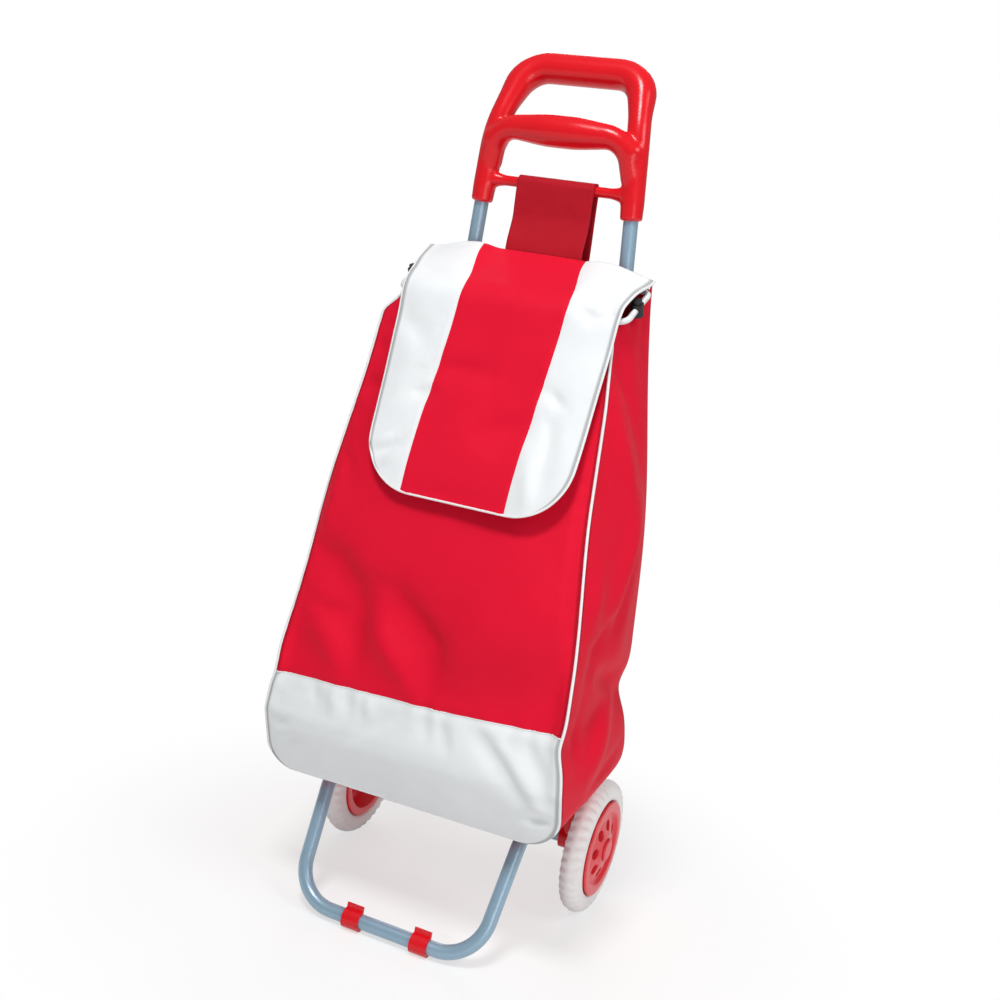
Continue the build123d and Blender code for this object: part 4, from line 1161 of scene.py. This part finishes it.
class TROLLEY_OT_drawstring(bpy.types.Operator):
    """Gather the mouth's hem and run the drawstring through it, with its locks"""

    bl_idname = "trolley.drawstring"
    bl_label = "Drawstring"

    RADIUS = 0.0032

    # Along the cord's straight run: how far the route passes its ends, and two points that keep it straight
    # where the lock slides
    PAST = 0.003
    STRAIGHT = (0.028, 0.045)

    def smooth_line(self, route):
        """Points of the smooth line that a cord takes along its route."""
        curve = bpy.data.curves.new("route", "CURVE")
        curve.dimensions = "3D"
        spline = curve.splines.new("NURBS")
        spline.points.add(len(route) - 1)
        for point, place in zip(spline.points, route):
            point.co = (*place, 1.0)
        spline.order_u = 3
        spline.use_endpoint_u = True
        spline.resolution_u = 8
        line = bpy.data.objects.new("route", curve)
        mesh = bpy.data.meshes.new_from_object(line)
        points = [vert.co.copy() for vert in mesh.vertices]
        bpy.data.objects.remove(line)
        bpy.data.meshes.remove(mesh)
        return points

    def hem(self, node):
        """A gathered hem along the mouth, between its insets."""
        start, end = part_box(node)
        middle = (start + end) / 2
        left = Vector((start.x + HEM_INSET, middle.y, middle.z))
        right = Vector((end.x - HEM_INSET, middle.y, middle.z))
        tube_piece(
            f"{node}_cloth", [left] + run_points(left, right, 0.003),
            lambda index: HEM_RADIUS + HEM_RIPPLE * ripple_at_edge(index * 0.9), 16,
            ("red cloth",), "frame", "red_cloth", (node,),
        )

    def open_stretch(self, side, word):
        """The cord from the end of the front hem, through the lock and round into the back hem."""
        low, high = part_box("drawstring")
        hem_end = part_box("front_hem")[1].x - HEM_INSET
        front = Vector((high.x - CORD_RADIUS, low.y + CORD_RADIUS, low.z + CORD_RADIUS))
        back = Vector((front.x, high.y - CORD_RADIUS, high.z - CORD_RADIUS))
        along = (back - front).normalized()
        outward = Vector((0.0008, 0.0, 0.0))
        route = [
            Vector((hem_end, front.y, front.z)),
            front - along * self.PAST + outward,
            *(front + along * distance for distance in self.STRAIGHT),
            back + along * self.PAST + outward,
            Vector((hem_end, back.y, back.z)),
        ]
        path = self.smooth_line([mirrored(point, side) for point in route])
        piece = tube_piece(
            f"{word}_drawstring", path, lambda index: self.RADIUS, 14,
            ("white cord",), "frame", "white_cord", ("drawstring",),
        )

    def execute(self, context):
        self.hem("front_hem")
        self.hem("back_hem")
        for side, word in SIDES:
            self.open_stretch(side, word)
            for part in ("barrel", "button"):
                dress(f"{word}_lock_{part}", "black plastic")
        return {"FINISHED"}


def dress(node, finish):
    """Give a CAD node that stays in view its finish."""
    target = frame["nodes"][node]
    target.data.materials.clear()
    target.data.materials.append(material_named(finish))


# The hard pieces


class TROLLEY_OT_frame(bpy.types.Operator):
    """Finish the tubes, brackets, axle and fasteners"""

    bl_idname = "trolley.frame"
    bl_label = "Frame"

    def execute(self, context):
        for node in ("left_upright", "right_upright", "foot_tube", "axle_tube"):
            dress(node, "tube paint")
        for node in ("axle_rod", "axle_washers", "bracket_rivets", "handle_screws"):
            dress(node, "steel")
        for _, word in SIDES:
            dress(f"{word}_axle_cap", "hub plastic")
            for part in ("axle_bracket", "foot_clip"):
                dress(f"{word}_{part}", "red plastic")
        dress("base_board", "base board")
        return {"FINISHED"}


class TROLLEY_OT_handle(bpy.types.Operator):
    """Mould the handle: its legs, two grips, crossbar and sockets run into each other"""

    bl_idname = "trolley.handle"
    bl_label = "Handle"

    RADIUS = 0.0128
    STEP = 0.003
    KNEE_BEND = 0.115
    GRIP_BEND = 0.034
    BOW_BEND = 0.030
    WEB_RADIUS = 0.0150
    BAR_RADIUS = 0.0062
    BAR_HEIGHT = 0.807
    BAR_HALF = 0.087
    VOXEL = 0.0014

    def execute(self, context):
        low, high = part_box("handle")
        top = high.z - 0.0163
        socket = Vector((0.0885, AXLE.y, low.z + 0.0007))
        knee = Vector((0.083, AXLE.y, top - 0.065))
        grip = Vector((0.067, AXLE.y + 0.034, top))
        corners = [socket, knee, grip, mirrored(grip), mirrored(knee), mirrored(socket)]
        bends = [self.KNEE_BEND, self.GRIP_BEND, self.GRIP_BEND, self.KNEE_BEND]
        path = bent_path(corners, bends, self.STEP)
        bm = bmesh.new()

        def leg_radius(index):
            point = path[index]
            swell = 0.0040 * ease(top - 0.050, top - 0.008, point.z)
            return self.RADIUS + swell - 0.0006 * ease(0.800, 0.785, point.z)

        sweep(bm, path, leg_radius, 28)
        foot = Vector((0.084, AXLE.y, 0.822))
        bow = Vector((0.075, AXLE.y - 0.010, 0.864))
        arch = bent_path([foot, bow, mirrored(bow), mirrored(foot)], [self.BOW_BEND] * 2, self.STEP)

        def arch_radius(index):
            return self.RADIUS + 0.0046 * ease(0.066, 0.010, abs(arch[index].x))

        sweep(bm, arch, arch_radius, 28)
        for side, _ in SIDES:
            web = Matrix.Translation((side * 0.079, AXLE.y - 0.004, 0.850))
            bmesh.ops.create_uvsphere(bm, u_segments=24, v_segments=16, radius=self.WEB_RADIUS, matrix=web)
        end = Vector((self.BAR_HALF, AXLE.y, self.BAR_HEIGHT))
        bar = [mirrored(end)] + run_points(mirrored(end), end, self.STEP)

        def bar_radius(index):
            return self.BAR_RADIUS + 0.004 * ease(0.062, 0.082, abs(bar[index].x))

        sweep(bm, bar, bar_radius, 20)
        piece = make_piece("handle_moulding", bm, ("red plastic",), None, "red_plastic")
        modify(piece, "one moulding", "REMESH", mode="VOXEL", voxel_size=self.VOXEL)
        modify(piece, "soft joins", "SMOOTH", factor=0.5, iterations=22)
        bake_modifiers(piece)
        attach(piece, "frame")
        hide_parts("handle")
        return {"FINISHED"}


class TROLLEY_OT_wheels(bpy.types.Operator):
    """Turn the hubs and the lugged tyres"""

    bl_idname = "trolley.wheels"
    bl_label = "Wheels"

    STEPS = 120
    HOLES = 8
    HOLE_RADIUS = 0.0064
    HOLE_RING = 0.028
    HOLE_TURN = 0.14
    BORE = 0.0043

    # The hub's profile from the bore outwards: distance out along the axle from its middle, and radius
    HUB = (
        (-0.0125, BORE), (0.0130, BORE), (0.0130, 0.0131), (0.0168, 0.0132), (0.0174, 0.0138),
        (0.0175, 0.0150), (0.0170, 0.0168), (0.0114, 0.0388), (0.0112, 0.0402), (0.0120, 0.0416),
        (0.0138, 0.0428), (0.0146, 0.0440), (0.0147, 0.0460), (0.0147, 0.0522), (0.0143, 0.0543),
        (0.0127, 0.0552), (0.0118, 0.0538), (-0.0118, 0.0538), (-0.0125, 0.0530), (-0.0125, 0.0445),
        (0.0070, 0.0400), (0.0105, 0.0122), (-0.0125, 0.0120),
    )

    # Half of the tyre's profile, from the rim to the tread: distance from its middle, and radius
    RIM = 0.0541
    TYRE = (
        (0.0125, RIM), (0.0125, 0.0620), (0.0122, 0.0680), (0.0113, 0.0716), (0.0092, 0.0744),
        (0.0060, 0.0762), (0.0020, 0.0773),
    )

    def spun(self, side, profile, steps):
        """A closed profile of (distance along the axle, radius) spun round the axle."""
        bm = bmesh.new()
        verts = [bm.verts.new((side * x, AXLE.y, AXLE.z + radius)) for x, radius in profile]
        edges = [bm.edges.new(pair) for pair in zip(verts, verts[1:] + verts[:1])]
        bmesh.ops.spin(
            bm, geom=verts + edges, cent=(0, AXLE.y, AXLE.z), axis=(1, 0, 0), angle=2 * pi, steps=steps,
            use_merge=True,
        )
        return bm

    def hub(self, side, word):
        """A hub with its ring of holes and rounded edges."""
        bm = self.spun(side, [(AXLE.x + along, radius) for along, radius in self.HUB], self.STEPS)
        piece = make_piece(f"{word}_hub", bm, ("hub plastic",), None, "red_plastic")
        cutter = bmesh.new()
        for index in range(self.HOLES):
            turn = Matrix.Rotation(index * 2 * pi / self.HOLES - self.HOLE_TURN, 4, "X")
            place = Matrix.Translation((side * (AXLE.x + 0.012), AXLE.y, AXLE.z)) @ turn
            lay = place @ Matrix.Translation((0, 0, self.HOLE_RING)) @ Matrix.Rotation(pi / 2, 4, "Y")
            bmesh.ops.create_cone(
                cutter, cap_ends=True, segments=32, radius1=self.HOLE_RADIUS, radius2=self.HOLE_RADIUS,
                depth=0.03, matrix=lay,
            )
        tool = make_piece(f"{word}_hub_cutter", cutter, ())
        modify(piece, "holes", "BOOLEAN", object=tool, solver="EXACT")
        modify(
            piece, "rounded edges", "BEVEL", width=0.0007, segments=2, limit_method="ANGLE", angle_limit=0.6
        )
        bake_modifiers(piece)
        bpy.data.objects.remove(tool)
        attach(piece, f"{word}_wheel")
        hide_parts(f"{word}_wheel_hub")

    def tyre(self, side, word):
        """A tyre whose wavy lugs alternate between its two shoulders."""
        sizes = bpy.context.scene.trolley_sizes
        middle = AXLE.x
        profile = [(middle - out, radius) for out, radius in self.TYRE]
        profile += [(middle + out, radius) for out, radius in reversed(self.TYRE)]
        profile.append((middle, self.RIM))
        bm = self.spun(side, profile, sizes.lug_count * 6)
        for vert in bm.verts:
            spoke = Vector((0, vert.co.y - AXLE.y, vert.co.z - AXLE.z))
            radius = spoke.length
            out = side * vert.co.x - middle
            turn = atan2(spoke.z, spoke.y) + (pi / sizes.lug_count if out > 0 else 0)
            wave = 0.5 + 0.5 * cos(turn * sizes.lug_count)
            shoulder = ease(0.0665, 0.0718, radius) * ease(0.0025, 0.0075, abs(out))
            spoke.length = radius - sizes.lug_depth * wave * shoulder
            vert.co.x -= side * (1 if out > 0 else -1) * sizes.lug_depth * 0.7 * wave * shoulder
            vert.co.y = AXLE.y + spoke.y
            vert.co.z = AXLE.z + spoke.z
        piece = make_piece(
            f"{word}_tyre_foam", bm, ("tyre foam",), f"{word}_wheel", "tyre_foam", (f"{word}_tyre",)
        )
        modify(piece, "foam", "SUBSURF", levels=1, render_levels=1)

    def execute(self, context):
        for side, word in SIDES:
            self.hub(side, word)
            self.tyre(side, word)
        return {"FINISHED"}


# The stage


class TROLLEY_OT_stage(bpy.types.Operator):
    """Lay the pale floor, hang the soft lamps and set up the camera"""

    bl_idname = "trolley.stage"
    bl_label = "Stage"

    # Each lamp: its name, where it hangs, what it points at, its size and the setting of its power
    LAMPS = (
        ("key", (0.05, -1.20, 2.80), (0, -0.05, 0.5), (0.6, 0.6), "key_power"),
        ("fill", (1.7, -0.35, 1.9), (0, 0, 0.40), (0.8, 0.8), "fill_power"),
        ("back fill", (-0.7, 1.9, 1.5), (0, 0, 0.45), (1.2, 1.0), "back_power"),
        ("low fill", (1.35, -1.4, 0.45), (0.05, 0, 0.15), (1.0, 0.7), "low_power"),
    )

    def floor(self):
        """A round floor that turns white away from the trolley."""
        bm = bmesh.new()
        bmesh.ops.create_circle(bm, cap_ends=True, segments=96, radius=6.0)
        mesh = bpy.data.meshes.new("floor")
        bm.to_mesh(mesh)
        bm.free()
        piece = add_object("floor", mesh)
        material, tree, shader, coords = start_material("pale floor")
        away = put(tree, "ShaderNodeVectorMath", {0: coords["Object"]}, operation="LENGTH").outputs[1]
        limits = {0: away, 1: 0.18, 2: 0.55, 3: 0.60}
        far = put(tree, "ShaderNodeMapRange", limits, interpolation_type="SMOOTHSTEP").outputs[0]
        white = put(tree, "ShaderNodeEmission", {"Color": (1, 1, 1, 1), "Strength": 1.0}).outputs[0]
        path = put(tree, "ShaderNodeLightPath").outputs
        tone = tint(tree, path["Is Camera Ray"], (0.86, 0.86, 0.86, 1), (0.94, 0.94, 0.94, 1))
        fill(tree, shader, {"Base Color": tone, "Roughness": 0.9, "Specular IOR Level": 0.1})
        seen = math_of(tree, "MAXIMUM", path["Is Camera Ray"], path["Is Glossy Ray"])
        shown = math_of(tree, "MULTIPLY", seen, far)
        mix = put(tree, "ShaderNodeMixShader", {0: shown, 1: shader.outputs[0], 2: white}).outputs[0]
        tree.links.new(mix, tree.nodes["Material Output"].inputs["Surface"])
        mesh.materials.append(material)

    def sky(self, strength):
        """An even light from all round, seen as white by the camera."""
        world = bpy.data.worlds.new("studio")
        bpy.context.scene.world = world
        world.use_nodes = True
        tree = world.node_tree
        path = put(tree, "ShaderNodeLightPath").outputs
        seen = math_of(tree, "MAXIMUM", path["Is Camera Ray"], path["Is Transmission Ray"])
        level = put(tree, "ShaderNodeMix", {0: seen, 2: strength, 3: 1.0}, data_type="FLOAT").outputs[0]
        fill(tree, tree.nodes["Background"], {"Color": (1, 1, 1, 1), "Strength": level})

    def lamp(self, name, place, target, size, power):
        """A soft rectangular lamp that points at its target."""
        data = bpy.data.lights.new(name, "AREA")
        data.shape = "RECTANGLE"
        data.size, data.size_y = size
        data.energy = power
        lamp = add_object(name, data)
        lamp.location = place
        lamp.rotation_euler = (Vector(target) - Vector(place)).to_track_quat("-Z", "Y").to_euler()

    def camera(self, view):
        """A camera turned, tilted and leant as the view says."""
        data = bpy.data.cameras.new("camera")
        camera = add_object("camera", data)
        data.lens = view.lens
        data.sensor_width = 36.0
        ahead = Vector((-sin(view.yaw) * cos(view.pitch), cos(view.yaw) * cos(view.pitch), -sin(view.pitch)))
        right = ahead.cross(Vector((0, 0, 1))).normalized()
        up = right.cross(ahead)
        tilted_right = right * cos(view.roll) + up * sin(view.roll)
        tilted_up = up * cos(view.roll) - right * sin(view.roll)
        matrix = Matrix((tilted_right, tilted_up, -ahead)).transposed().to_4x4()
        matrix.translation = view.place
        camera.matrix_world = matrix
        bpy.context.scene.camera = camera

    def execute(self, context):
        view = context.scene.trolley_view
        self.floor()
        self.sky(view.sky)
        for name, place, target, size, setting in self.LAMPS:
            self.lamp(name, place, target, size, getattr(view, setting))
        self.camera(view)
        context.scene.view_settings.view_transform = "Standard"
        return {"FINISHED"}


class TROLLEY_PT_panel(bpy.types.Panel):
    """Lists the pieces of the trolley"""

    bl_idname = "TROLLEY_PT_panel"
    bl_label = "Shopping trolley"
    bl_space_type = "VIEW_3D"
    bl_region_type = "UI"
    bl_category = "Trolley"

    def draw(self, context):
        for group in ("trolley_colours", "trolley_sizes", "trolley_view"):
            settings = getattr(context.scene, group)
            box = self.layout.box()
            for name in settings.__annotations__:
                box.prop(settings, name)
        for operator in OPERATORS:
            self.layout.operator(operator.bl_idname)


GROUPS = (TrolleyColours, TrolleySizes, TrolleyView)
OPERATORS = (
    TROLLEY_OT_stage,
    TROLLEY_OT_frame,
    TROLLEY_OT_handle,
    TROLLEY_OT_wheels,
    TROLLEY_OT_bag,
    TROLLEY_OT_bag_piping,
    TROLLEY_OT_drawstring,
    TROLLEY_OT_strap,
    TROLLEY_OT_flap,
)


def register():
    for item in GROUPS + OPERATORS + (TROLLEY_PT_panel,):
        bpy.utils.register_class(item)
    bpy.types.Scene.trolley_colours = PointerProperty(type=TrolleyColours)
    bpy.types.Scene.trolley_sizes = PointerProperty(type=TrolleySizes)
    bpy.types.Scene.trolley_view = PointerProperty(type=TrolleyView)


def unregister():
    del bpy.types.Scene.trolley_view
    del bpy.types.Scene.trolley_sizes
    del bpy.types.Scene.trolley_colours
    for item in reversed(GROUPS + OPERATORS + (TROLLEY_PT_panel,)):
        bpy.utils.unregister_class(item)


def main():
    register()
    bpy.ops.trolley.stage()
    bpy.ops.trolley.frame()
    bpy.ops.trolley.handle()
    bpy.ops.trolley.wheels()
    bpy.ops.trolley.bag()
    bpy.ops.trolley.bag_piping()
    bpy.ops.trolley.drawstring()
    bpy.ops.trolley.strap()
    bpy.ops.trolley.flap()


if __name__ == "__main__":
    main()
